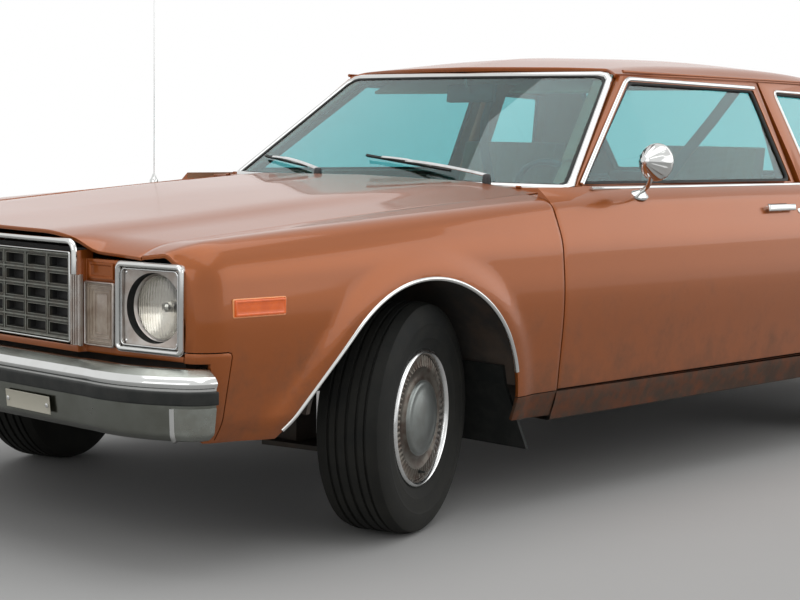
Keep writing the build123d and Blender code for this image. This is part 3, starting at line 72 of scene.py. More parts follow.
# Body side. Columns: station, then half-width and height of the sill, crease, low side, high
# side, shoulder foot, shoulder and inner edge of the top
SIDE_SECTIONS = [
    (0, 846, 348, 865, 398, 876, 560, 877, 650, 863, 763, 822, 817, 693, 806),
    (400, 866, 335, 889, 385, 903, 560, 905, 650, 891, 776, 838, 846, 716, 840),
    (930, 870, 300, 893, 356, 910, 560, 912, 650, 899, 788, 848, 876, 736, 884),
    (1500, 869, 278, 893, 352, 911, 560, 913, 650, 900, 790, 853, 905, 752, 925),
    (2200, 869, 278, 893, 352, 911, 560, 913, 650, 900, 790, 853, 909, 778, 945),
    (2950, 869, 278, 893, 352, 911, 560, 913, 650, 900, 790, 853, 912, 778, 945),
    (3700, 869, 285, 892, 352, 911, 560, 913, 650, 900, 792, 852, 915, 770, 945),
    (4400, 850, 320, 876, 380, 896, 560, 897, 650, 886, 785, 838, 900, 736, 928),
    (4960, 812, 345, 836, 395, 850, 560, 850, 650, 838, 765, 798, 858, 696, 884),
]
SIDE_CORNERS = (16, 40, 42, 34, 34)

# Columns: station, middle height, then half-width and height of panel edge, crease foot and outer edge
HOOD_SECTIONS = [
    (30, 846, 430, 842, 520, 820, 686, 803),
    (400, 872, 440, 867, 535, 848, 708, 838),
    (930, 918, 455, 912, 560, 895, 728, 882),
    (1570, 958, 480, 951, 620, 938, 745, 927),
]
TRUNK_SECTIONS = [
    (4016, 961, 420, 957, 560, 950, 743, 940),
    (4400, 951, 420, 947, 560, 940, 728, 930),
    (4940, 912, 400, 909, 540, 901, 689, 887),
]
# Columns: station, middle height, then half-width and height of haunch, brow and rail
ROOF_SECTIONS = [
    (2045, 1320, 300, 1314, 552, 1305, 596, 1296),
    (2300, 1357, 300, 1348, 575, 1324, 630, 1296),
    (2650, 1376, 300, 1366, 588, 1334, 640, 1296),
    (3050, 1376, 300, 1366, 586, 1334, 638, 1296),
    (3300, 1357, 300, 1348, 578, 1324, 632, 1296),
    (3530, 1320, 300, 1314, 552, 1305, 606, 1296),
]
# Columns: station, half-width at the belt, half-width at the roof rail
GLASSHOUSE = [(1600, 776, 600), (2145, 796, 628), (2853, 806, 637), (3400, 800, 628), (4000, 764, 588)]
# Columns: height, corner half-width, corner station, centre station
WINDSHIELD = [(925.0, 774.0, 1690.0, 1578.0), (1300.0, 590.0, 2134.0, 2070.0)]
REAR_WINDOW = [(935.0, 716.0, 3930.0, 3990.0), (1300.0, 566.0, 3440.0, 3500.0)]
DOOR_WINDOW = [(1746, 949), (2152, 1272), (2872, 1262), (2896, 949)]
QUARTER_WINDOW = [(3046, 951), (3012, 1258), (3270, 1252), (3420, 951)]


# Measures and small helpers

def at(station):
    """Y in metres of a station."""
    return (station - LENGTH / 2) * MM


def point(x, station, z):
    """A point of the car from its half-width, station and height."""
    return Vector((x * MM, at(station), z * MM))


def smooth_row(table, station):
    """A row of a station table without its station, on a smooth line between the rows."""
    rows = np.array(table, float)
    stations, values = rows[:, 0], rows[:, 1:]
    slopes = np.gradient(values, stations, axis=0)
    i = int(np.clip(np.searchsorted(stations, station) - 1, 0, len(stations) - 2))
    span = stations[i + 1] - stations[i]
    t = (station - stations[i]) / span
    if t < 0 or t > 1:
        end = 0 if t < 0 else -1
        return values[end] + slopes[end] * (station - stations[end])
    first, last = values[i], values[i + 1]
    return (
        first * (2 * t**3 - 3 * t**2 + 1)
        + last * (3 * t**2 - 2 * t**3)
        + slopes[i] * span * (t**3 - 2 * t**2 + t)
        + slopes[i + 1] * span * (t**3 - t**2)
    )


def pairs(row):
    """(half-width, height) points of a table row."""
    return [(row[i], row[i + 1]) for i in range(0, len(row), 2)]


def corner_curve(corner, before, after, setback, share=0.48):
    """Where a rounded corner starts, and a function along its curve."""
    back, ahead = before - corner, after - corner
    room = min(setback, share * np.linalg.norm(back), share * np.linalg.norm(ahead))
    enter = corner + back / np.linalg.norm(back) * room
    leave = corner + ahead / np.linalg.norm(ahead) * room
    return enter, leave, lambda t: enter * (1 - t) ** 2 + corner * 2 * t * (1 - t) + leave * t**2


def rounded(points, setbacks, steps=5, runs=4):
    """A section's line with its inner corners rounded, always with the same number of points."""
    points = [np.array(p, float) for p in points]
    line = []
    start = points[0]
    for corner, before, after, setback in zip(points[1:-1], points, points[2:], setbacks):
        enter, leave, curve = corner_curve(corner, before, after, setback)
        line += [start + (enter - start) * i / runs for i in range(runs)]
        line += [curve(i / steps) for i in range(steps)]
        start = leave
    line += [start + (points[-1] - start) * i / runs for i in range(runs + 1)]
    return [tuple(p) for p in line]


def between(low, high, count):
    """Evenly spaced numbers, both ends included."""
    return [low + (high - low) * i / (count - 1) for i in range(count)]


def select_only(*objects):
    """Select these objects and make the first one active."""
    bpy.ops.object.select_all(action="DESELECT")
    for obj in objects:
        obj.select_set(True)
    bpy.context.view_layer.objects.active = objects[0]


def add_object(name, mesh):
    """A new object in the scene with this mesh."""
    obj = bpy.data.objects.new(name, mesh)
    mesh.name = name
    bpy.context.scene.collection.objects.link(obj)
    return obj


def mesh_piece(name, points, faces):
    """An object from points and faces."""
    mesh = bpy.data.meshes.new(name)
    mesh.from_pydata([tuple(p) for p in points], [], faces)
    mesh.update()
    return add_object(name, mesh)


def sheet_piece(name, rows, out):
    """A sheet from rows of points, with its faces towards the given direction."""
    columns = len(rows[0])
    points = [p for row in rows for p in row]
    faces = []
    for i in range(len(rows) - 1):
        for j in range(columns - 1):
            corner = i * columns + j
            faces.append((corner, corner + 1, corner + columns + 1, corner + columns))
    obj = mesh_piece(name, points, faces)
    total = sum((f.normal * f.area for f in obj.data.polygons), Vector())
    if total.dot(Vector(out)) < 0:
        obj.data.flip_normals()
    return obj


def edit(obj):
    """The mesh of an object, open for changes. Give it to done()."""
    mesh = bmesh.new()
    mesh.from_mesh(obj.data)
    return mesh


def done(obj, mesh):
    """Write an opened mesh back."""
    mesh.to_mesh(obj.data)
    mesh.free()
    obj.data.update()


def face_out(obj):
    """Turn all faces of a closed shape outwards."""
    mesh = edit(obj)
    bmesh.ops.recalc_face_normals(mesh, faces=mesh.faces)
    done(obj, mesh)


def fill_holes(obj):
    """Close the open edges of a shape."""
    mesh = edit(obj)
    bmesh.ops.holes_fill(mesh, edges=[e for e in mesh.edges if e.is_boundary], sides=0)
    done(obj, mesh)


def modify(obj, kind, **settings):
    """Add a modifier and apply it."""
    select_only(obj)
    modifier = obj.modifiers.new(kind.title(), kind)
    for name, value in settings.items():
        setattr(modifier, name, value)
    bpy.ops.object.modifier_apply(modifier=modifier.name)


def wall(obj, thickness):
    """Give a sheet a thickness in millimetres behind its face."""
    modify(obj, "SOLIDIFY", thickness=thickness * MM, offset=-1, use_even_offset=True)


def soften(obj, width, segments=2, angle=35):
    """Bevel the sharp edges, with the width in millimetres."""
    modify(
        obj, "BEVEL", width=width * MM, segments=segments, limit_method="ANGLE",
        angle_limit=math.radians(angle), harden_normals=False,
    )


def shade(obj, angle=32):
    """Smooth shading with sharp edges past the angle."""
    select_only(obj)
    bpy.ops.object.shade_smooth_by_angle(angle=math.radians(angle))


def cut(obj, *tools):
    """Take the tools away from the object and delete them."""
    for tool in tools:
        modify(obj, "BOOLEAN", operation="DIFFERENCE", object=tool, solver="EXACT")
        bpy.data.objects.remove(tool)


def prism(outline, axis, low, high, name="tool"):
    """A closed outline swept along an axis. Outline pairs: (station, z), (x, z) or (x, station)."""
    count = len(outline)
    turn = {"x": (2, 0, 1), "y": (0, 2, 1), "z": (0, 1, 2)}[axis]
    points = []
    for level in (low, high):
        for pair in outline:
            points.append(point(*((*pair, level)[i] for i in turn)))
    faces = [tuple(range(count)), tuple(range(2 * count - 1, count - 1, -1))]
    faces += [(i, i + count, (i + 1) % count + count, (i + 1) % count) for i in range(count)]
    obj = mesh_piece(name, points, faces)
    face_out(obj)
    return obj


def slot_tool(path, width):
    """A thin tool along a (station, z) path, to cut a seam through a side skin."""
    line = np.array(path, float)
    steps = np.gradient(line, axis=0)
    sides = np.stack([-steps[:, 1], steps[:, 0]], 1) * width / 2 / np.linalg.norm(steps, axis=1)[:, None]
    outline = [tuple(p) for p in line + sides] + [tuple(p) for p in (line - sides)[::-1]]
    return prism(outline, "x", 780, 1000)


def framed_plate(name, width, height, steps):
    """A rectangle in the XY plane whose face goes in at each step: (inset, depth) in millimetres."""
    bpy.ops.object.select_all(action="DESELECT")
    bpy.ops.mesh.primitive_plane_add(size=1)
    obj = bpy.context.active_object
    obj.name = name
    obj.data.name = name
    obj.data.transform(Matrix.Diagonal((width * MM, height * MM, 1, 1)))
    bpy.ops.object.mode_set(mode="EDIT")
    bpy.ops.mesh.select_all(action="SELECT")
    for thickness, depth in steps:
        bpy.ops.mesh.inset(thickness=thickness * MM, depth=depth * MM, use_even_offset=True)
    bpy.ops.object.mode_set(mode="OBJECT")
    return obj


def slice_off(obj, where, direction):
    """Delete what lies past a plane on the side of the direction."""
    mesh = edit(obj)
    everything = mesh.verts[:] + mesh.edges[:] + mesh.faces[:]
    bmesh.ops.bisect_plane(
        mesh, geom=everything, plane_co=where, plane_no=direction, clear_outer=True, dist=1e-6,
    )
    done(obj, mesh)


def other_side(obj, name):
    """A copy on the other side of the car."""
    mesh = obj.data.copy()
    mesh.transform(Matrix.Scale(-1, 4, (1, 0, 0)))
    mesh.flip_normals()
    return add_object(name, mesh)


def join(name, *objects):
    """One object from several."""
    select_only(*objects)
    bpy.ops.object.join()
    obj = bpy.context.view_layer.objects.active
    obj.name = name
    obj.data.name = name
    return obj


def cad_copy(node, name):
    """A merged copy of a CAD node, with its flat faces whole."""
    obj = add_object(name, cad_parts[node].data.copy())
    work = edit(obj)
    bmesh.ops.remove_doubles(work, verts=work.verts, dist=2e-5)
    bmesh.ops.dissolve_limit(work, angle_limit=math.radians(1.0), verts=work.verts, edges=work.edges)
    done(obj, work)
    obj.data.materials.clear()
    return obj


def directions(path, closed):
    """The direction of travel at each point of a path."""
    last = len(path) - 1
    tangents = []
    for i in range(last + 1):
        before = path[i - 1] if closed or i > 0 else path[i]
        after = path[(i + 1) % (last + 1)] if closed or i < last else path[i]
        tangents.append((after - before).normalized())
    return tangents


def moulding(name, path, profile, up, closed=False):
    """A strip with the given profile along a path. Profile pairs are across and along the up direction."""
    path = [Vector(p) for p in path]
    tangents = directions(path, closed)
    ups = up if isinstance(up, list) else [Vector(up)] * len(path)
    count = len(profile)
    points = []
    for i, (place, tangent, lift) in enumerate(zip(path, tangents, ups)):
        across = tangent.cross(lift).normalized()
        high = across.cross(tangent).normalized()
        stretch = 1.0
        if closed or 0 < i < len(path) - 1:
            step = path[(i + 1) % len(path)] - place
            if step.length > 0:
                stretch = 1.0 / max(0.5, abs(step.normalized().dot(tangent)))
        for a, b in profile:
            points.append(place + across * (a * MM * stretch) + high * (b * MM))
    faces = []
    rows = len(path)
    for i in range(rows if closed else rows - 1):
        n = (i + 1) % rows
        for j in range(count):
            k = (j + 1) % count
            faces.append((i * count + j, i * count + k, n * count + k, n * count + j))
    if not closed:
        faces.append(tuple(reversed(range(count))))
        faces.append(tuple(range((rows - 1) * count, rows * count)))
    obj = mesh_piece(name, points, faces)
    face_out(obj)
    return obj


def half_round(width, height, steps=8):
    """Profile of a crowned strip on its seat."""
    top = []
    for i in range(steps + 1):
        angle = math.pi * i / steps
        top.append((width / 2 * math.cos(angle), height * math.sin(angle)))
    return top + [(-width / 2, -2), (width / 2, -2)]


def tube_profile(radius, steps=12):
    """Profile of a round rod."""
    turns = [2 * math.pi * i / steps for i in range(steps)]
    return [(radius * math.cos(a), radius * math.sin(a)) for a in turns]


def arc_path(centre, radius, start, end, steps):
    """(station, z) points on an arc in the side view, angles in degrees from the rear."""
    turns = [math.radians(a) for a in between(start, end, steps)]
    return [(centre[0] + radius * math.cos(a), centre[1] + radius * math.sin(a)) for a in turns]


def rounded_loop(width, height, radius, steps=6):
    """A rounded rectangle as (across, up) points about its centre."""
    loop = []
    for sx, sz, start in ((1, 1, 0), (-1, 1, 90), (-1, -1, 180), (1, -1, 270)):
        for i in range(steps + 1):
            a = math.radians(start + 90 * i / steps)
            loop.append((
                sx * (width / 2 - radius) + radius * math.cos(a),
                sz * (height / 2 - radius) + radius * math.sin(a),
            ))
    return loop


def turned(name, profile, steps, closed=False):
    """A turned shape by the spin operator. Profile: distance from the axis and height, in millimetres."""
    points = [Vector((r * MM, 0, h * MM)) for r, h in profile]
    count = len(points)
    obj = mesh_piece(name, points, [])
    mesh = edit(obj)
    mesh.verts.ensure_lookup_table()
    for i in range(count if closed else count - 1):
        mesh.edges.new((mesh.verts[i], mesh.verts[(i + 1) % count]))
    done(obj, mesh)
    select_only(obj)
    bpy.ops.object.mode_set(mode="EDIT")
    bpy.ops.mesh.select_all(action="SELECT")
    bpy.ops.mesh.spin(steps=steps, angle=2 * math.pi, center=(0, 0, 0), axis=(0, 0, 1), dupli=False)
    bpy.ops.mesh.select_all(action="SELECT")
    bpy.ops.mesh.remove_doubles(threshold=2e-6)
    bpy.ops.mesh.normals_make_consistent(inside=False)
    bpy.ops.object.mode_set(mode="OBJECT")
    return obj


def put(obj, matrix):
    """Move an object's mesh to its place."""
    obj.data.transform(matrix)
    obj.data.update()
    return obj


def axes(origin, x_axis, z_axis):
    """A matrix from an origin, an X direction and a Z direction."""
    z_axis = Vector(z_axis).normalized()
    x_axis = Vector(x_axis)
    x_axis = (x_axis - z_axis * x_axis.dot(z_axis)).normalized()
    y_axis = z_axis.cross(x_axis)
    matrix = Matrix((x_axis, y_axis, z_axis)).transposed().to_4x4()
    matrix.translation = Vector(origin)
    return matrix


# The finishes, by their keys
FINISHES = {}


def dress(obj, *keys):
    """Give a mesh these finishes and no others."""
    obj.data.materials.clear()
    for key in keys:
        obj.data.materials.append(FINISHES[key])


def finish_piece(obj, key, *nodes, body="body", slot=None, angle=32):
    """Shade and dress a piece, and give it its body and the CAD nodes that it stands for. The slot is not
    used.
    """
    if angle:
        shade(obj, angle)
    if key:
        dress(obj, key)
    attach(obj, body)
    if nodes:
        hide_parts(*nodes)
    return obj


def trim(name, path, profile, up, key, *nodes, closed=False, **settings):
    """A moulding with its finish, body and CAD nodes."""
    return finish_piece(moulding(name, path, profile, up, closed), key, *nodes, **settings)


def small_part(obj, place, key, *nodes, **settings):
    """Put a part in its place and finish it."""
    return finish_piece(put(obj, place), key, *nodes, **settings)


def local(across, up, out=0.0):
    """A point beside a placing matrix, in millimetres."""
    return Vector((across * MM, up * MM, out * MM))


def loop_at(place, loop, out=0.0):
    """A flat loop in its place, lifted out in millimetres."""
    return [place @ local(a, b, out) for a, b in loop]


def shift(across, up, out=0.0):
    """A matrix that moves by millimetres."""
    return Matrix.Translation(local(across, up, out))


# Shared shader effects

def group_tree(name, inputs, outputs):
    """A new shader node group with its sockets. Socket pairs: name and kind."""
    tree = bpy.data.node_groups.new(name, "ShaderNodeTree")
    for socket, kind in inputs:
        tree.interface.new_socket(name=socket, in_out="INPUT", socket_type="NodeSocket" + kind)
    for socket, kind in outputs:
        tree.interface.new_socket(name=socket, in_out="OUTPUT", socket_type="NodeSocket" + kind)
    return tree, tree.nodes.new("NodeGroupInput"), tree.nodes.new("NodeGroupOutput")


def add_node(tree, kind, values=None, **settings):
    """A node with its settings and the values of its unlinked inputs."""
    made = tree.nodes.new("ShaderNode" + kind)
    for name, value in settings.items():
        setattr(made, name, value)
    for socket, value in (values or {}).items():
        made.inputs[socket].default_value = value
    return made


def wire(tree, *joints):
    """Link sockets. A joint: from node, its output, to node, its input."""
    for source, output, target, given in joints:
        tree.links.new(source.outputs[output], target.inputs[given])


def make_patches():
    """Soft patches of a second colour."""
    tree, given, result = group_tree(
        "Patches",
        [
            ("Vector", "Vector"), ("Colour", "Color"), ("Other", "Color"), ("Scale", "Float"),
            ("Amount", "Float"),
        ],
        [("Colour", "Color"), ("Mask", "Float")],
    )
    noise = add_node(tree, "TexNoise", {"Detail": 4.0, "Roughness": 0.6})
    spread = add_node(tree, "MapRange", {"From Min": 0.38, "From Max": 0.66}, interpolation_type="SMOOTHSTEP")
    weigh = add_node(tree, "Math", operation="MULTIPLY")
    mix = add_node(tree, "Mix", data_type="RGBA")
    wire(
        tree, (given, "Vector", noise, "Vector"), (given, "Scale", noise, "Scale"),
        (noise, "Fac", spread, "Value"),
        (spread, "Result", weigh, 0), (given, "Amount", weigh, 1), (weigh, "Value", mix, "Factor"),
        (given, "Colour", mix, "A"), (given, "Other", mix, "B"), (mix, "Result", result, "Colour"),
        (weigh, "Value", result, "Mask"),
    )
    return tree


def make_film_and_painted_shade():
    """Dust and splashes that thin out with height; on the paint the same darkening is also painted shade."""
    tree, given, result = group_tree(
        "Road Film And Painted Shade", [("Vector", "Vector"), ("Top", "Float"), ("Amount", "Float")], [("Mask", "Float")],
    )
    split = add_node(tree, "SeparateXYZ")
    noise = add_node(tree, "TexNoise", {"Scale": 9.0, "Detail": 5.0, "Roughness": 0.65})
    lift = add_node(tree, "Math", operation="DIVIDE")
    wander = add_node(tree, "MapRange", {"From Min": 0.3, "From Max": 0.7, "To Min": -0.35, "To Max": 0.35})
    total = add_node(tree, "Math", operation="ADD")
    fade = add_node(tree, "MapRange", {"From Min": 1.0, "From Max": 0.2}, interpolation_type="SMOOTHSTEP")
    weigh = add_node(tree, "Math", operation="MULTIPLY")
    wire(
        tree, (given, "Vector", split, "Vector"), (given, "Vector", noise, "Vector"), (split, "Z", lift, 0),
        (given, "Top", lift, 1), (noise, "Fac", wander, "Value"), (lift, "Value", total, 0),
        (wander, "Result", total, 1), (total, "Value", fade, "Value"), (fade, "Result", weigh, 0),
        (given, "Amount", weigh, 1), (weigh, "Value", result, "Mask"),
    )
    return tree


def make_grain():
    """Fine uneven height, with a roughness that follows broader patches."""
    tree, given, result = group_tree(
        "Grain",
        [("Vector", "Vector"), ("Scale", "Float"), ("Roughness", "Float"), ("Spread", "Float")],
        [("Height", "Float"), ("Roughness", "Float")],
    )
    fine = add_node(tree, "TexNoise", {"Detail": 3.0, "Roughness": 0.6})
    broad = add_node(tree, "TexNoise", {"Scale": 5.0, "Detail": 3.0})
    centre = add_node(tree, "Math", {1: 0.5}, operation="SUBTRACT")
    weigh = add_node(tree, "Math", operation="MULTIPLY")
    total = add_node(tree, "Math", operation="ADD")
    wire(
        tree, (given, "Vector", fine, "Vector"), (given, "Scale", fine, "Scale"),
        (given, "Vector", broad, "Vector"),
        (broad, "Fac", centre, 0), (centre, "Value", weigh, 0), (given, "Spread", weigh, 1),
        (weigh, "Value", total, 0), (given, "Roughness", total, 1), (fine, "Fac", result, "Height"),
        (total, "Value", result, "Roughness"),
    )
    return tree


def make_flakes():
    """Metal flakes in paint: a colour that glints from cell to cell."""
    tree, given, result = group_tree(
        "Flakes",
        [("Vector", "Vector"), ("Colour", "Color"), ("Glint", "Color"), ("Scale", "Float")],
        [("Colour", "Color")],
    )
    cells = add_node(tree, "TexVoronoi")
    split = add_node(tree, "SeparateColor")
    share = add_node(tree, "MapRange", {"From Min": 0.0, "From Max": 1.0, "To Min": 0.0, "To Max": 0.5})
    mix = add_node(tree, "Mix", data_type="RGBA")
    wire(
        tree, (given, "Vector", cells, "Vector"), (given, "Scale", cells, "Scale"),
        (cells, "Color", split, "Color"),
        (split, "Red", share, "Value"), (share, "Result", mix, "Factor"), (given, "Colour", mix, "A"),
        (given, "Glint", mix, "B"), (mix, "Result", result, "Colour"),
    )
    return tree


def make_weave():
    """A plain weave: raised threads both ways."""
    tree, given, result = group_tree(
        "Weave", [("Vector", "Vector"), ("Scale", "Float")], [("Height", "Float")],
    )
    scaled = add_node(tree, "VectorMath", operation="SCALE")
    split = add_node(tree, "SeparateXYZ")
    x_wave, y_wave, z_wave = (add_node(tree, "Math", operation="SINE") for _ in range(3))
    crossed = add_node(tree, "Math", operation="MULTIPLY")
    total = add_node(tree, "Math", operation="ADD")
    wire(
        tree, (given, "Vector", scaled, 0), (given, "Scale", scaled, "Scale"),
        (scaled, "Vector", split, "Vector"),
        (split, "X", x_wave, 0), (split, "Y", y_wave, 0), (split, "Z", z_wave, 0),
        (x_wave, "Value", crossed, 0), (y_wave, "Value", crossed, 1), (crossed, "Value", total, 0),
        (z_wave, "Value", total, 1),
        (total, "Value", result, "Height"),
    )
    return tree


patches, film_and_painted_shade, grain = make_patches(), make_film_and_painted_shade(), make_grain()
flakes, weave = make_flakes(), make_weave()


def place_group(tree, group, **values):
    """A group in a material, with its own values. Underscores in names stand for spaces."""
    made = tree.nodes.new("ShaderNodeGroup")
    made.node_tree = group
    for name, value in values.items():
        made.inputs[name.replace("_", " ")].default_value = value
    return made


def tint(colour):
    """Four channels from three."""
    return (*colour, 1.0)


def finish(
    key, name, colour, roughness, metallic=0.0, other=None, scale=6.0, amount=0.35, grit=300.0, bump=0.08,
    spread=0.12, film=0.0, film_top=0.5, dirt_and_shade=(0.16, 0.13, 0.10), glint=None, cloth=0.0, coat=0.0,
    coat_roughness=0.05, transmission=0.0, ior=1.5, sheen=0.0, specular=0.5,
):
    """A material: patches of a second colour, fine grain or cloth, and road film over it, which on the paint
    is also painted shade.
    """
    made = bpy.data.materials.new(name)
    made.use_nodes = True
    tree = made.node_tree
    links = tree.links
    shader = tree.nodes["Principled BSDF"]
    for socket, value in (
        ("Metallic", metallic), ("Coat Weight", coat), ("Coat Roughness", coat_roughness), ("Coat IOR", 1.5),
        ("Transmission Weight", transmission), ("IOR", ior), ("Sheen Weight", sheen),
        ("Specular IOR Level", specular),
    ):
        shader.inputs[socket].default_value = value
    made.diffuse_color = tint(colour)
    coordinates = tree.nodes.new("ShaderNodeTexCoord").outputs["Object"]
    other = other or tuple(c * 0.6 for c in colour)
    tone = place_group(tree, patches, Colour=tint(colour), Other=tint(other), Scale=scale, Amount=amount)
    texture = place_group(tree, grain, Scale=grit, Roughness=roughness, Spread=spread)
    placed = [tone, texture]
    shown, rough, height = tone.outputs["Colour"], texture.outputs["Roughness"], texture.outputs["Height"]
    if glint:
        sparkle = place_group(tree, flakes, Glint=tint(glint), Scale=2600.0)
        placed.append(sparkle)
        links.new(shown, sparkle.inputs["Colour"])
        shown = sparkle.outputs["Colour"]
    if cloth:
        threads = place_group(tree, weave, Scale=cloth)
        placed.append(threads)
        height = threads.outputs["Height"]
    # Road film: dust, and on the paint also painted shade low down.
    if film:
        dust_and_painted_shade = place_group(tree, film_and_painted_shade, Top=film_top, Amount=film)
        placed.append(dust_and_painted_shade)
        cover = add_node(tree, "Mix", {"B": tint(dirt_and_shade)}, data_type="RGBA")
        dull = add_node(tree, "Mix", {"B": 0.85}, data_type="FLOAT")
        wire(tree, (dust_and_painted_shade, "Mask", cover, "Factor"), (dust_and_painted_shade, "Mask", dull, "Factor"))
        links.new(shown, cover.inputs["A"])
        links.new(rough, dull.inputs["A"])
        shown, rough = cover.outputs["Result"], dull.outputs["Result"]
    for group in placed:
        links.new(coordinates, group.inputs["Vector"])
    links.new(shown, shader.inputs["Base Color"])
    links.new(rough, shader.inputs["Roughness"])
    if bump:
        raised = add_node(tree, "Bump", {"Strength": bump, "Distance": 0.001})
        links.new(height, raised.inputs["Height"])
        links.new(raised.outputs["Normal"], shader.inputs["Normal"])
    FINISHES[key] = made


# Sizes and colours that a user would change

COLOUR = {"subtype": "COLOR", "size": 3, "min": 0.0, "max": 1.0}


class CarPaint(bpy.types.PropertyGroup):
    body: bpy.props.FloatVectorProperty(
        name="Body Colour", description="Colour of the paint on the panels",
        default=(0.285, 0.070, 0.009), **COLOUR,
    )
    glint: bpy.props.FloatVectorProperty(
        name="Flake Colour", description="Colour of the metal flakes in the paint",
        default=(0.44, 0.125, 0.022), **COLOUR,
    )
    # Strength of the darkening towards the bottom of the paint: dust and painted shade.
    dirt_and_shade: bpy.props.FloatProperty(
        name="Road Film And Painted Shade", description="How much dust lies on the lower body", subtype="FACTOR",
        min=0.0, max=1.0, default=0.55,
    )


class CarTrim(bpy.types.PropertyGroup):
    cabin: bpy.props.FloatVectorProperty(
        name="Cabin Colour", description="Colour of the seats and door panels",
        default=(0.33, 0.17, 0.085), **COLOUR,
    )
    glass: bpy.props.FloatVectorProperty(
        name="Glass Colour", description="Tint of the window glass",
        default=(0.32, 0.66, 0.68), **COLOUR,
    )
    arch_band: bpy.props.FloatProperty(
        name="Arch Flare", description="How far the panels stand out round the wheel openings",
        subtype="DISTANCE", unit="LENGTH", min=0.0, max=0.02, default=0.012,
    )


class CarWheels(bpy.types.PropertyGroup):
    ribs: bpy.props.IntProperty(
        name="Cover Ribs", description="Number of ribs in the ring of a wheel cover",
        min=12, max=90, default=60,
    )
    tread: bpy.props.IntProperty(
        name="Tread Blocks", description="Number of shoulder blocks round a tyre",
        min=40, max=140, default=116,
    )


class CarStage(bpy.types.PropertyGroup):
    floor: bpy.props.FloatVectorProperty(
        name="Floor Colour", description="Colour of the floor",
        default=(0.46, 0.46, 0.455), **COLOUR,
    )
    lens: bpy.props.FloatProperty(
        name="Camera Lens", description="Focal length of the camera", subtype="DISTANCE_CAMERA",
        unit="CAMERA", min=20.0, max=200.0, default=79.1,
    )


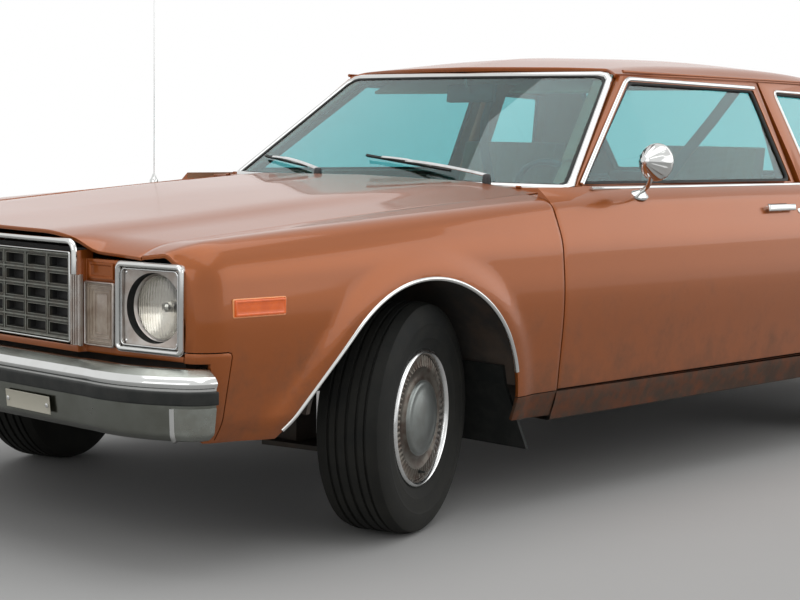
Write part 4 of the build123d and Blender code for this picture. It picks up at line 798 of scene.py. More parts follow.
def make_finishes(scene):
    """All the car's materials, from the user's colours."""
    paint, trim = scene.car_paint, scene.car_trim
    body = tuple(paint.body)
    deep = tuple(c * 0.82 for c in body)
    cabin = tuple(trim.cabin)
    # The road film darkens the lower body: partly dust, partly painted shade of the dark ground it faces.
    finish(
        "paint", "Copper Paint", body, 0.34, metallic=0.45, other=deep, scale=1.6, amount=0.35,
        glint=tuple(paint.glint), grit=900, bump=0.015, spread=0.05, film=paint.dirt_and_shade, film_top=0.62,
        dirt_and_shade=(0.085, 0.042, 0.020), coat=0.55, coat_roughness=0.05, specular=0.3,
    )
    finish(
        "sill", "Dusty Sill Paint", tuple(c * 0.5 for c in body), 0.6, metallic=0.2,
        other=(0.07, 0.035, 0.018), scale=26, amount=0.95, grit=120, bump=0.25, film=0.9, film_top=0.50,
        dirt_and_shade=(0.045, 0.032, 0.022),
    )
    finish(
        "chrome", "Chrome", (0.66, 0.67, 0.66), 0.09, metallic=1.0, other=(0.6, 0.6, 0.58), scale=14,
        amount=0.35, grit=160, bump=0.02, spread=0.10, film=0.25, film_top=0.5, dirt_and_shade=(0.25, 0.21, 0.17),
    )
    # Darker chrome for the bumper's lower face: painted shade and painted dark reflection, with real road
    # film over it.
    finish(
        "painted_shade_chrome", "Chrome Darkened With Painted Shade", (0.20, 0.21, 0.19), 0.16, metallic=1.0, other=(0.13, 0.13, 0.11),
        scale=9, amount=0.6, grit=160, bump=0.03, spread=0.12, film=0.3, film_top=0.5,
        dirt_and_shade=(0.10, 0.09, 0.07),
    )
    # Darker chrome for the bumper's top face and end caps: painted dark reflection.
    finish(
        "painted_reflection_chrome", "Chrome With Painted Dark Reflection", (0.34, 0.36, 0.33), 0.22, metallic=1.0, other=(0.24, 0.24, 0.21),
        scale=16, amount=0.6, grit=160, bump=0.04, spread=0.12, film=0.3, film_top=0.5,
        dirt_and_shade=(0.14, 0.12, 0.10),
    )
    # A darker copy of the grille's silver for its lower faces: painted shade.
    finish(
        "grille_shade", "Grille Painted Shade", (0.055, 0.057, 0.048), 0.45, metallic=0.4, other=(0.09, 0.08, 0.065),
        scale=40, amount=0.7, grit=300, bump=0.06,
    )
    finish(
        "turn_lens", "Moulded Clear Lens", (0.42, 0.35, 0.28), 0.22, other=(0.27, 0.20, 0.15), scale=16,
        amount=0.8, grit=260, bump=0.06, coat=1.0, coat_roughness=0.04,
    )
    finish(
        "amber_edge", "Amber Edge", (1.0, 0.42, 0.16), 0.25, other=(0.9, 0.3, 0.08), scale=30, bump=0.05,
        coat=0.8,
    )
    finish(
        "bright", "Stainless Trim", (0.70, 0.71, 0.71), 0.20, metallic=1.0, other=(0.5, 0.49, 0.47),
        scale=30, amount=0.4, grit=400, bump=0.03, spread=0.12,
    )
    finish(
        "grille", "Grille Silver", (0.24, 0.25, 0.22), 0.38, metallic=0.75, other=(0.14, 0.12, 0.10),
        scale=40, amount=0.7, grit=300, bump=0.06,
    )
    # Near-black for recesses, gaps, slots and the sheet behind the grille: painted shade.
    finish(
        "recess_shade", "Painted Recess Shade", (0.012, 0.013, 0.013), 0.6, other=(0.03, 0.026, 0.022), scale=30, bump=0.05,
    )
    finish(
        "rubber", "Bumper Rubber", (0.012, 0.014, 0.013), 0.55, other=(0.028, 0.028, 0.026), scale=22,
        amount=0.6, grit=500, bump=0.12, spread=0.15, specular=0.3,
    )
    finish(
        "tyre", "Tyre Rubber", (0.009, 0.010, 0.0095), 0.74, other=(0.020, 0.020, 0.017), scale=11,
        amount=0.55, grit=420, bump=0.25, film=0.22, film_top=0.7, dirt_and_shade=(0.035, 0.032, 0.026),
        specular=0.25,
    )
    finish(
        "cover", "Wheel Cover Ring", (0.14, 0.128, 0.11), 0.42, metallic=0.8, other=(0.07, 0.045, 0.035),
        scale=24, amount=0.8, grit=300, bump=0.1,
    )
    finish(
        "cap", "Wheel Cover Cap", (0.24, 0.26, 0.25), 0.34, metallic=0.85, other=(0.16, 0.16, 0.15),
        scale=16, amount=0.5, grit=260, bump=0.05,
    )
    finish(
        "glass", "Tinted Glass", tuple(trim.glass), 0.0, other=tuple(c * 0.96 for c in trim.glass), scale=3,
        amount=0.4, grit=30, bump=0.0, spread=0.0, transmission=1.0, ior=1.45,
    )
    finish(
        "lens", "Clear Lens", (0.90, 0.90, 0.88), 0.06, other=(0.80, 0.78, 0.72), scale=14, grit=300,
        bump=0.03, spread=0.05, transmission=1.0, ior=1.45,
    )
    finish(
        "amber", "Amber Lens", (0.95, 0.16, 0.012), 0.22, other=(0.7, 0.09, 0.01), scale=30, grit=500,
        bump=0.1, coat=0.8,
    )
    finish(
        "red", "Red Lens", (0.42, 0.012, 0.010), 0.2, other=(0.28, 0.006, 0.006), scale=30, grit=500,
        bump=0.1, coat=0.8,
    )
    finish(
        "reflector", "Lamp Reflector", (0.72, 0.70, 0.66), 0.16, metallic=1.0, other=(0.5, 0.45, 0.38),
        scale=12, amount=0.5, grit=90, bump=0.12,
    )
    finish(
        "bezel", "Bezel Silver", (0.50, 0.47, 0.44), 0.30, metallic=0.9, other=(0.34, 0.25, 0.20), scale=20,
        amount=0.5, grit=200, bump=0.05,
    )
    finish("plate", "Blank Plate", (0.46, 0.44, 0.36), 0.45, other=(0.5, 0.47, 0.40), scale=18, bump=0.06)
    finish(
        "plastic", "Black Plastic", (0.02, 0.021, 0.022), 0.42, other=(0.04, 0.04, 0.04), scale=20,
        grit=900, bump=0.2,
    )
    finish(
        "cloth", "Seat Cloth", cabin, 0.85, other=tuple(c * 0.72 for c in cabin), scale=9, amount=0.5,
        cloth=1500.0, bump=0.35, sheen=0.3,
    )
    finish(
        "vinyl", "Cabin Vinyl", tuple(c * 0.8 for c in cabin), 0.5, other=tuple(c * 0.55 for c in cabin),
        scale=12, grit=700, bump=0.3,
    )
    finish(
        "dash", "Dashboard Vinyl", (0.075, 0.045, 0.028), 0.5, other=(0.05, 0.032, 0.022), scale=12,
        grit=700, bump=0.3,
    )
    finish(
        "liner", "Headliner", (0.40, 0.30, 0.21), 0.9, other=(0.33, 0.24, 0.17), scale=10, cloth=2400.0,
        bump=0.2,
    )
    finish(
        "carpet", "Carpet", (0.085, 0.048, 0.028), 0.95, other=(0.05, 0.03, 0.02), scale=30, grit=1400,
        bump=0.6, sheen=0.2,
    )
    finish(
        "under", "Underbody", (0.030, 0.027, 0.024), 0.8, other=(0.075, 0.048, 0.032), scale=8, amount=0.7,
        grit=90, bump=0.4, film=0.5, film_top=0.6, dirt_and_shade=(0.10, 0.085, 0.07),
    )
    finish(
        "engine", "Engine Enamel", (0.03, 0.07, 0.11), 0.55, metallic=0.2, other=(0.05, 0.04, 0.03),
        scale=12, amount=0.7, grit=80, bump=0.3,
    )
    finish(
        "pipe", "Exhaust Steel", (0.22, 0.16, 0.12), 0.6, metallic=0.7, other=(0.16, 0.075, 0.04), scale=14,
        amount=0.8, grit=140, bump=0.3,
    )
    finish(
        "mirror", "Mirror Glass", (0.88, 0.89, 0.89), 0.02, metallic=1.0, other=(0.8, 0.8, 0.8), scale=6,
        bump=0.0, spread=0.0,
    )
    finish(
        "belt", "Seat Belt Webbing", (0.020, 0.020, 0.021), 0.75, other=(0.035, 0.035, 0.035), scale=60,
        cloth=3600.0, bump=0.5,
    )


class CAR_OT_finishes(bpy.types.Operator):
    """Mix the paint, trim and cabin materials"""
    bl_idname = "car.finishes"
    bl_label = "Car Finishes"

    def execute(self, context):
        make_finishes(context.scene)
        return {"FINISHED"}


# Body skins

FENDER_EDGE = [(0, 693, 806), (400, 716, 840), (930, 736, 884), (1500, 752, 925)]
DOOR_EDGE = [(1500, 768, 920), (1760, 800, 943), (2000, 803, 945), (2950, 803, 945)]
QUARTER_EDGE = [(2950, 803, 945), (3700, 798, 945), (3960, 757, 943), (4400, 736, 930), (4960, 696, 886)]
FRONT_ARCH = (915.0, 390.0)
FRONT_SLANT = 46.0
REAR_ARCH = (REAR_AXLE, 372.0)
# Half-widths between which a tool cuts through one side of the body
THROUGH_SIDE = (600, 1100)
ARCH_LIP = 22.0
ARCH_SPREAD = 66.0
PANEL_WALL = 10.0


def front_arch_outline(grow=0.0, foot=190.0):
    """(station, z) outline of the front wheel opening, from its rear foot to its slanted front."""
    station, radius = FRONT_ARCH
    arc = arc_path((station, HUB_HEIGHT), radius + grow, 0, 90 + FRONT_SLANT, 60)
    last = arc[-1]
    reach = (last[1] - foot) / math.tan(math.radians(FRONT_SLANT))
    return [(station + radius + grow, foot)] + arc + [(last[0] - reach, foot)]


def rear_arch_outline(grow=0.0, foot=190.0):
    """(station, z) outline of the rear wheel opening."""
    station, radius = REAR_ARCH
    arc = arc_path((station, HUB_HEIGHT), radius + grow, 0, 180, 72)
    return [(station + radius + grow, foot)] + arc + [(station - radius - grow, foot)]


def outline_distance(outline, places):
    """Distance of (station, z) places from an outline, in millimetres."""
    outline = np.array(outline)
    places = np.array(places)
    starts, steps = outline[:-1], np.diff(outline, axis=0)
    away = places[:, None, :] - starts[None]
    share = np.clip((away * steps).sum(-1) / (steps**2).sum(-1), 0, 1)
    nearest = away - steps * share[..., None]
    return np.sqrt((nearest**2).sum(-1)).min(1)


NOSE_LINE = [(622, 94), (831, 136), (862, 147), (960, 168)]
NOSE_TURN = 46.0
NOSE_DROOP = 24.0


def nose_droop(x, station, front):
    """How far the top of the nose drops towards its front edge, in millimetres."""
    share = np.clip((station - front) / 120, 0, 1)
    outward = np.clip((abs(x) - 480) / 90, 0, 1)
    return NOSE_DROOP * (1 - share) ** 2.5 * outward * outward * (3 - 2 * outward)


def side_profile(station, edge):
    """The rounded section of the body side at a station, from the sill to the inner edge of the top."""
    row = smooth_row(SIDE_SECTIONS, station)[:12]
    stations, halves, heights = zip(*edge)
    top = (np.interp(station, stations, halves), np.interp(station, stations, heights))
    line = rounded(pairs(row) + [top], SIDE_CORNERS)
    if edge is not FENDER_EDGE or station > 260:
        return line
    turned_in = NOSE_TURN * (1 - np.clip((station - 131) / 115, 0, 1)) ** 3
    shaped = []
    for x, z in line:
        x -= turned_in * np.clip((x - 700) / 140, 0, 1)
        front = np.interp(x, [p[0] for p in NOSE_LINE], [p[1] for p in NOSE_LINE])
        z -= nose_droop(x, station, front) * np.clip((z - 763) / 50, 0, 1)
        shaped.append((float(x), float(z)))
    return shaped


def flare_at(distance, amount):
    """How far a panel stands out at a distance from the wheel opening: a flat lip, then a slope."""
    share = np.clip(1 - (np.asarray(distance) - ARCH_LIP) / ARCH_SPREAD, 0, 1)
    return amount * share * share * (3 - 2 * share)


def side_skin(name, stations, edge, outline=None, amount=0.0):
    """The left side's skin at the given stations, with the flare round a wheel opening."""
    rows = []
    for station in stations:
        line = side_profile(station, edge)
        push = np.zeros(len(line))
        if outline is not None:
            push = flare_at(outline_distance(outline, [(station, z) for _, z in line]), amount)
            push *= np.clip((905 - np.array([z for _, z in line])) / 60, 0, 1)
        rows.append([point(x + p, station, z) for (x, z), p in zip(line, push)])
    return sheet_piece(name, rows, (1, 0, 0))


def side_x(station, z, edge):
    """Half-width of the body side at a height, in millimetres."""
    halves, heights = zip(*side_profile(station, edge))
    return float(np.interp(z, heights, halves))


FILLER_SEAM = [(120, 566), (222, 566), (230, 563), (233, 555), (231, 540), (222, 463), (216, 408), (206, 350)]


def build_fenders(scene):
    amount = scene.car_trim.arch_band / MM
    outline = front_arch_outline()
    stations = between(40, 260, 40) + between(271, FENDER_END, 104)
    fender = side_skin("fender_skin_left", stations, FENDER_EDGE, outline, amount)
    wall(fender, PANEL_WALL)
    cut(
        fender,
        prism(outline, "x", *THROUGH_SIDE),
        prism([(600, -50), (600, 90)] + NOSE_LINE + [(960, -50)], "z", 500, 1000),
        prism([(-50, 200), (178, 200), (178, 540), (-50, 540)], "x", *THROUGH_SIDE),
        slot_tool(FILLER_SEAM, 3),
        slot_tool([(1290, 353), (1400, 353), (1510, 353)], 3),
    )
    soften(fender, 1.2)
    dress(fender, "paint", "sill")
    for face in fender.data.polygons:
        if face.center.z < 0.353 and face.center.y > at(1250):
            face.material_index = 1
    right = other_side(fender, "fender_skin_right")
    for piece, side in ((fender, "left"), (right, "right")):
        finish_piece(piece, None, f"fender_{side}", slot="paint")


def crowned_rows(table, columns, setbacks, front, rear, count):
    """Rows of a panel across the car. The front and rear give a station for each half-width."""
    rows = []
    for i in range(count):
        share = (i / (count - 1)) ** 1.4
        row = []
        for j in range(columns):
            station = front(0) + share * (rear(0) - front(0))
            for _ in range(3):
                values = smooth_row(table, station)
                half = [(0.0, values[0])] + pairs(values[1:])
                line = rounded(half, setbacks, 5, (columns - 1 - 5 * (len(half) - 2)) // (len(half) - 1))
                x, z = line[j]
                station = front(x) + share * (rear(x) - front(x))
            if table is HOOD_SECTIONS:
                z -= nose_droop(x, station, front(x))
            row.append((x, station, z))
        left = [point(x, s, z) for x, s, z in row]
        right = [point(-x, s, z) for x, s, z in row[:0:-1]]
        rows.append(right + left)
    return rows


def plan(table):
    """A function that gives the station of a plan line at a half-width."""
    xs, stations = [p[0] for p in table], [p[1] for p in table]
    return lambda x: float(np.interp(abs(x), xs, stations))


HOOD_FRONT = plan([(0, 40), (300, 41), (430, 45), (470, 52), (505, 64), (560, 80), (620, 97), (690, 111)])


def build_hood(scene):
    rows = crowned_rows(HOOD_SECTIONS, 35, (60, 40), HOOD_FRONT, lambda x: 1570.0, 110)
    hood = sheet_piece("hood_skin", rows, (0, 0, 1))
    wall(hood, 10)
    soften(hood, 3, 3)
    finish_piece(hood, "paint", "hood", body="hood_lid")
    outline = [(-480, 190), (480, 190), (540, 700), (560, 1460), (-560, 1460), (-540, 700)]
    lining = prism(outline, "z", 0, 5, "hood_lining")
    for vertex in lining.data.vertices:
        vertex.co.z += 0.800 + (vertex.co.y - at(190)) * 0.068
    soften(lining, 2)
    finish_piece(lining, "plastic", body="hood_lid", slot="paint")


def build_trunk_lid(scene):
    rows = crowned_rows(
        TRUNK_SECTIONS, 35, (90, 60), lambda x: 4016.0, lambda x: 4940.0 - 0.00002 * x * x, 50,
    )
    edge = rows[-1]
    for back, down in ((3, 4), (6, 13), (6, 30), (4, 48)):
        rows.append([p + Vector((0, back * MM, -down * MM)) for p in edge])
    lid = sheet_piece("trunk_skin", rows, (0, 0.3, 1))
    wall(lid, 8)
    soften(lid, 3, 3)
    finish_piece(lid, "paint", "trunk_lid", body="trunk")


ROOF_FRONT = plan([(0, 2062), (300, 2090), (548, 2150), (620, 2112)])
ROOF_REAR = plan([(0, 3526), (350, 3506), (660, 3446)])


def build_roof(scene):
    rows = crowned_rows(ROOF_SECTIONS, 35, (120, 28), ROOF_FRONT, ROOF_REAR, 70)
    roof = sheet_piece("roof_skin", rows, (0, 0, 1))
    wall(roof, 16)
    soften(roof, 3, 3)
    finish_piece(roof, "paint", "roof")


def move_low_part(obj, below, sign, inward):
    """Move the points under a height towards the car's middle, in millimetres."""
    for vertex in obj.data.vertices:
        if vertex.co.z < below * MM and vertex.co.x * sign > 0:
            vertex.co.x -= sign * inward * MM
    obj.data.update()


def build_doors(scene):
    skin = side_skin("door_skin_left", between(DOOR_FRONT, DOOR_REAR, 80), DOOR_EDGE)
    wall(skin, PANEL_WALL)
    slice_off(skin, (0, 0, 358 * MM), (0, 0, -1))
    fill_holes(skin)
    soften(skin, 1.6)
    for side, sign in SIDES:
        panel = skin if sign > 0 else other_side(skin, "door_skin_right")
        core = cad_copy(f"door_{side}", f"door_core_{side}")
        move_low_part(core, 947, sign, 9)
        soften(core, 2.5)
        dress(core, "paint", "vinyl")
        finish_piece(core, None, f"door_{side}", body=f"{side}_door", slot="paint")
        for face in core.data.polygons:
            if face.normal.x * sign < -0.7 and face.center.z < 940 * MM:
                face.material_index = 1
        finish_piece(panel, "paint", f"door_{side}", body=f"{side}_door")


def build_quarters(scene):
    amount = scene.car_trim.arch_band / MM
    outline = rear_arch_outline()
    low = side_skin(
        "quarter_skin_left", between(QUARTER_FRONT, TAIL_STATION, 130), QUARTER_EDGE, outline, amount,
    )
    wall(low, PANEL_WALL)
    cut(
        low,
        prism(outline, "x", *THROUGH_SIDE),
        prism([(2900, 150), (3345, 150), (3345, SILL_TOP + 1), (2900, SILL_TOP + 1)], "x", *THROUGH_SIDE),
        prism([(770, 4926), (852, 4862), (1100, 4862), (1100, 5200), (770, 5200)], "z", 100, 1200),
    )
    soften(low, 1.6)
    high = cad_copy("quarter_left", "quarter_sail_left")
    slice_off(high, (0, 0, 926 * MM), (0, 0, -1))
    soften(high, 4, 3)
    panel = join("quarter_panel_left", low, high)
    right = other_side(panel, "quarter_panel_right")
    for piece, side in ((panel, "left"), (right, "right")):
        finish_piece(piece, "paint", f"quarter_{side}")


def build_sills(scene):
    section = [
        (772, 264), (862, 262), (870, 266), (873, 278), (886, 316), (893, 345), (893, 351), (884, 352),
        (772, 352),
    ]
    rows = [[point(x, s, z) for x, z in section] for s in between(FENDER_END + 0.3, 3293, 60)]
    sill = sheet_piece("sill_left", rows, (1, 0, -0.3))
    fill_holes(sill)
    face_out(sill)
    for piece in (sill, other_side(sill, "sill_right")):
        finish_piece(piece, "sill", "rockers")


def bevelled_cad(node, name, width, ends=None):
    """A bevelled copy of a painted CAD node in its place, cut off at a half-width."""
    piece = cad_copy(node, name)
    if ends:
        for sign in (1, -1):
            slice_off(piece, (sign * ends * MM, 0, 0), (sign, 0, 0))
        fill_holes(piece)
    soften(piece, width)
    finish_piece(piece, "paint", node)


def build_body_frame(scene):
    pillars = cad_copy("windshield_pillars", "pillar_covers")
    rows = []
    for t in between(-0.05, 1.05, 12):
        places = [(u, pane_normal(WINDSHIELD, u, t, -1)) for u in between(-1.08, 1.08, 24)]
        rows.append([pane_point(WINDSHIELD, u, t) - n * 0.005 for u, n in places])
    front = sheet_piece("front", rows, (0, 1, -0.5))
    wall(front, 90)
    cut(pillars, front)
    soften(pillars, 2)
    finish_piece(pillars, "paint", "windshield_pillars")
    bevelled_cad("header_panel", "nose_panel", 2, 826)
    bevelled_cad("cowl", "cowl_panel", 2, 745)
    bevelled_cad("tail_panel", "tail_cover", 3)
    bevelled_cad("deck_panel", "deck_cover", 2)
    for side, sign in SIDES:
        brow = framed_plate(f"lamp_brow_{side}", 92, 42, [(1, 4), (5, 0), (3, -3)])
        put(brow, facing(sign * 567, 88, 748, (sign * 0.085, -1, 0)))
        wall(brow, 2)
        finish_piece(brow, "paint", angle=25)


# Glass

def pane_point(arcs, across, up):
    """A point of a curved pane: across from -1 to 1, up from 0 to 1."""
    low, high = arcs
    height, half, corner, centre = (a + (b - a) * up for a, b in zip(low, high))
    return point(half * across, centre + (corner - centre) * across**2, height)


def pane_normal(arcs, across, up, out):
    """The outward normal of a curved pane."""
    step = 0.01
    side = pane_point(arcs, across + step, up) - pane_point(arcs, across - step, up)
    rise = pane_point(arcs, across, up + step) - pane_point(arcs, across, up - step)
    normal = side.cross(rise).normalized()
    return normal if normal.y * out > 0 else -normal


def build_glass(scene):
    for name, arcs, out in (("windshield", WINDSHIELD, -1), ("rear_window", REAR_WINDOW, 1)):
        rows = [[pane_point(arcs, u, t) for u in between(-1, 1, 33)] for t in between(0.015, 0.985, 13)]
        pane = sheet_piece(f"{name}_glass", rows, (0, out, 0.5))
        wall(pane, 4.5)
        finish_piece(pane, "glass", name, angle=40)
    for node in ("door_glass_left", "door_glass_right", "quarter_windows"):
        dress(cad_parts[node], "glass")
    for name, arcs, out in (("windshield", WINDSHIELD, -1), ("rear_window", REAR_WINDOW, 1)):
        edge = [(-0.988, t) for t in between(0.05, 0.93, 14)]
        edge += [(-0.965, 0.972)] + [(u, 0.985) for u in between(-0.92, 0.92, 25)] + [(0.965, 0.972)]
        edge += [(0.988, t) for t in between(0.93, 0.05, 14)]
        edge += [(u, 0.035) for u in between(0.96, -0.96, 25)]
        ups = [pane_normal(arcs, u * 0.97, t, out) for u, t in edge]
        path = [pane_point(arcs, u, t) + n * 0.002 for (u, t), n in zip(edge, ups)]
        trim(f"{name}_trim", path, half_round(22, 6), ups, "chrome", closed=True)
        inner = [(u * 0.976, 0.018 + t * 0.962) for u, t in edge]
        path = [pane_point(arcs, u, t) + n * 0.001 for (u, t), n in zip(inner, ups)]
        trim(f"{name}_seal", path, half_round(12, 3), ups, "rubber", closed=True)


# Bumpers

def arc_through(first, middle, last, count):
    """Points on the circle through three plan points."""
    (ax, ay), (bx, by), (cx, cy) = first, middle, last
    d = 2 * (ax * (by - cy) + bx * (cy - ay) + cx * (ay - by))
    ux = ((ax**2 + ay**2) * (by - cy) + (bx**2 + by**2) * (cy - ay) + (cx**2 + cy**2) * (ay - by)) / d
    uy = ((ax**2 + ay**2) * (cx - bx) + (bx**2 + by**2) * (ax - cx) + (cx**2 + cy**2) * (bx - ax)) / d
    radius = math.hypot(ax - ux, ay - uy)
    start = math.atan2(ay - uy, ax - ux)
    end = math.atan2(cy - uy, cx - ux)
    sweep = (end - start + math.pi) % (2 * math.pi) - math.pi
    turns = [start + sweep * i / (count - 1) for i in range(count)]
    return [(ux + radius * math.cos(a), uy + radius * math.sin(a)) for a in turns]


def bumper_line(inset, half):
    """(x, station) plan line of a bumper at an inset, from the middle to the left end."""
    line = [(x, 9 * (x / 600) ** 2) for x in between(0, 600, 13)]
    line += arc_through((600, 9), (790, 40), (half - 36, 96), 19)[1:]
    line += arc_through((half - 36, 96), (half - 10, 132), (half, 172), 11)[1:]
    places = np.array(line)
    steps = np.gradient(places, axis=0)
    steps /= np.linalg.norm(steps, axis=1)[:, None]
    for _ in range(3):
        steps[1:-1] = (steps[:-2] + steps[1:-1] + steps[2:]) / 3
    steps[0] = (1, 0)
    steps[-1] = (0, 1)
    inward = np.stack([-steps[:, 1], steps[:, 0]], 1)
    return [tuple(p) for p in places + inward * inset]


BUMPER_PROFILE = rounded(
    [(352, 52), (356, 36), (372, 17), (438, 9), (484, 9), (497, 3), (510, 12), (530, 40), (531, 52)],
    (4, 8, 12, 2, 5, 5, 8, 4), 4, 2,
)


def bumper_rows(profile, half, rear, start=0, grow=0.0):
    """Rows of a bumper skin through (height, inset) pairs. The start leaves out the middle columns."""
    rows = []
    for z, inset in profile:
        line = bumper_line(inset - grow, half)[start:]
        if rear:
            line = [(x, LENGTH - s) for x, s in line]
        left = [point(x, s, z) for x, s in line]
        if start:
            rows.append(left)
        else:
            rows.append([point(-x, s, z) for x, s in line[:0:-1]] + left)
    return rows


def build_bumpers(scene):
    for name, half, rear in (("front_bumper", 914.0, False), ("rear_bumper", 912.0, True)):
        out = (0, 1 if rear else -1, 0.1)
        bar = sheet_piece(f"{name}_bar", bumper_rows(BUMPER_PROFILE, half, rear), out)
        wall(bar, 3)
        dress(bar, "chrome", "painted_shade_chrome", "painted_reflection_chrome")
        # The lower faces and the top face take darker chromes: painted shade and painted dark reflection.
        for face in bar.data.polygons:
            if face.center.z < 0.462:
                face.material_index = 1
            elif face.center.z > 0.513:
                face.material_index = 2
        finish_piece(bar, None, name, slot="chrome", angle=50)
        low = [p for p in BUMPER_PROFILE if p[0] < 441]
        for side, sign in SIDES:
            cap = sheet_piece("cap", bumper_rows(low, half, rear, 28, 1.6), (1, 0, 0))
            wall(cap, 2)
            post = [point(*bumper_line(i - 2.5, half)[28], z) for z, i in low]
            if rear:
                post = [Vector((p.x, -p.y, p.z)) for p in post]
            edge = moulding("edge", post, half_round(13, 4, 6), (0.75, 0.65 if rear else -0.65, 0))
            # The end cap takes the darker chrome: painted dark reflection.
            dress(cap, "painted_reflection_chrome")
            dress(edge, "chrome")
            cap = join(f"{name}_cap_{side}", cap, edge)
            if sign < 0:
                put(cap, Matrix.Scale(-1, 4, (1, 0, 0)))
                cap.data.flip_normals()
            finish_piece(cap, None, slot="chrome", angle=50)
        strip_profile = rounded([(445, 11), (446, 0), (478, 0), (479, 11)], (4, 4), 5, 3)
        strip = sheet_piece(f"{name}_strip", bumper_rows(strip_profile, half, rear), out)
        wall(strip, 2)
        finish_piece(strip, "rubber", "bumper_strips", angle=50)
        near, far = (4925, 4995) if rear else (45, 175)
        arms = [prism([(s * 350, near), (s * 430, near), (s * 430, far), (s * 350, far)], "z", 400, 470)
                for _, s in SIDES]
        arms = join(f"{name}_brackets", *arms)
        soften(arms, 4)
        finish_piece(arms, "under")


# Nose: grille, surround, lamps

GRILLE_COLUMNS = 10
GRILLE_ROWS = 5
CELL_WIDE = 95.0
CELL_HIGH = 41.6
GRILLE_MIDDLE = 678.0


def facing(x, station, z, normal=(0, -1, 0)):
    """A matrix at a point of the car whose Z looks along the normal and whose Y is up."""
    normal = Vector(normal).normalized()
    side = Vector((0, 0, 1)).cross(normal).normalized()
    return axes(point(x, station, z), side, normal)


def build_grille(scene):
    cell = framed_plate(
        "grille_cells", CELL_WIDE, CELL_HIGH,
        [(1.6, 0), (0.8, -3), (3.4, 0), (0.8, 2), (1.8, 0), (0.8, -9), (0.6, -16)],
    )
    dress(cell, "grille", "grille_shade", "recess_shade")
    # Raised faces take the silver, the lower faces a darker copy, the deepest near-black: painted shade.
    for face in cell.data.polygons:
        depth = face.center.z / MM
        raised = face.normal.z > 0.9 and depth > -2
        face.material_index = 0 if raised else (1 if depth > -6 else 2)
    soften(cell, 0.4, 1, 60)
    first_x = -CELL_WIDE * (GRILLE_COLUMNS - 1) / 2
    first_z = GRILLE_MIDDLE - CELL_HIGH * (GRILLE_ROWS - 1) / 2
    put(cell, facing(first_x, 58, first_z))
    for count, step in ((GRILLE_COLUMNS, (CELL_WIDE * MM, 0, 0)), (GRILLE_ROWS, (0, 0, CELL_HIGH * MM))):
        modify(cell, "ARRAY", count=count, use_relative_offset=False, use_constant_offset=True,
               constant_offset_displace=step)
    finish_piece(cell, None, "grille", slot="grille_silver", angle=20)
    # A near-black sheet behind the grille cells: painted shade.
    back = prism([(-499, 560), (499, 560), (499, 800), (-499, 800)], "y", 92, 96, "grille_back")
    soften(back, 1)
    finish_piece(back, "recess_shade")
    turn = arc_path((487, 792), 26, 10, 80, 8)
    half = [(513, 738), (513, 792)] + turn + [(487, 818)] + [(x, 818) for x in between(430, 60, 7)]
    loop = half + [(0, 818)] + [(-x, z) for x, z in half[::-1]]
    trim("grille_surround", [point(x, 46, z) for x, z in loop], half_round(15, 9), (0, -1, 0), "chrome")
    wide, high = CELL_WIDE * GRILLE_COLUMNS, CELL_HIGH * GRILLE_ROWS
    for name, grow, station, rise, key in (("lip", 16, 54, 4, "chrome"), ("frame", 4, 57, 3, "grille")):
        path = [point(x, station, z + GRILLE_MIDDLE) for x, z in rounded_loop(wide + grow, high + grow, 5)]
        trim(f"grille_{name}", path, half_round(5, rise), (0, -1, 0), key, slot="chrome", closed=True)
    for side, sign in SIDES:
        strips = []
        for x in (487, 495.5, 504, 512.5):
            path = [point(sign * x, 60 + (x - 487) * 0.1, z) for z in (560, 640, 735)]
            strips.append(moulding("rib", path, half_round(6, 7, 6), (0, -1, 0)))
        strips.append(
            prism([(sign * 482, 558), (sign * 518, 558), (sign * 518, 736), (sign * 482, 736)], "y", 62, 68),
        )
        ribs = join(f"grille_ribs_{side}", *strips)
        finish_piece(ribs, "bezel")


# Centres of the lamps: half-width, station and height
HEADLAMP_CENTRE = (726.5, 110, 666)
TURN_LAMP_CENTRE = (567.5, 81, 641)
TURN_LAMP_SIZE = (102, 156)
BEZEL_SLANT = math.atan2(136 - 94, 831 - 622)
BEZEL_WIDE = 211.0
BEZEL_HIGH = 220.0
LAMP_RADIUS = 84.0
LAMP_RING = [(78, -40), (81, -35), (83.5, -33), (85, -36), (84.5, -42), (80, -44)]
LAMP_SHIFT = 7.0


def by_angle(loop, middle, count=144):
    """Points of a loop at even angles about a shifted centre."""
    dense = refine(loop + loop[:1], 3)
    turns = [math.atan2(b, a - middle) for a, b in dense]
    reach = [math.hypot(a - middle, b) for a, b in dense]
    even = [2 * math.pi * i / count for i in range(count)]
    order = np.argsort(turns)
    radii = np.interp(even, np.array(turns)[order], np.array(reach)[order], period=2 * math.pi)
    return [(middle + r * math.cos(t), r * math.sin(t)) for t, r in zip(even, radii)]


LENS_COLUMNS = 108
LENS_ROWS = 14
FLUTE_WIDTH = 9.0
FLUTE_DEPTH = 0.9


def fluted_lens(name, radius, dome):
    """A domed round lens with upright flutes across it."""
    lines = []
    for x in between(-0.995 * radius, 0.995 * radius, LENS_COLUMNS + 1):
        half = math.sqrt(radius**2 - x**2)
        line = []
        for share in between(-1, 1, LENS_ROWS + 1):
            z = half * math.sin(share * math.pi / 2)
            rise = dome * (1 - (x**2 + z**2) / radius**2)
            flute = FLUTE_DEPTH * abs(math.sin(math.pi * x / FLUTE_WIDTH)) * min(1.0, rise / 2)
            line.append(Vector((x * MM, z * MM, (rise + flute) * MM)))
        lines.append(line)
    return sheet_piece(name, lines, (0, 0, 1))


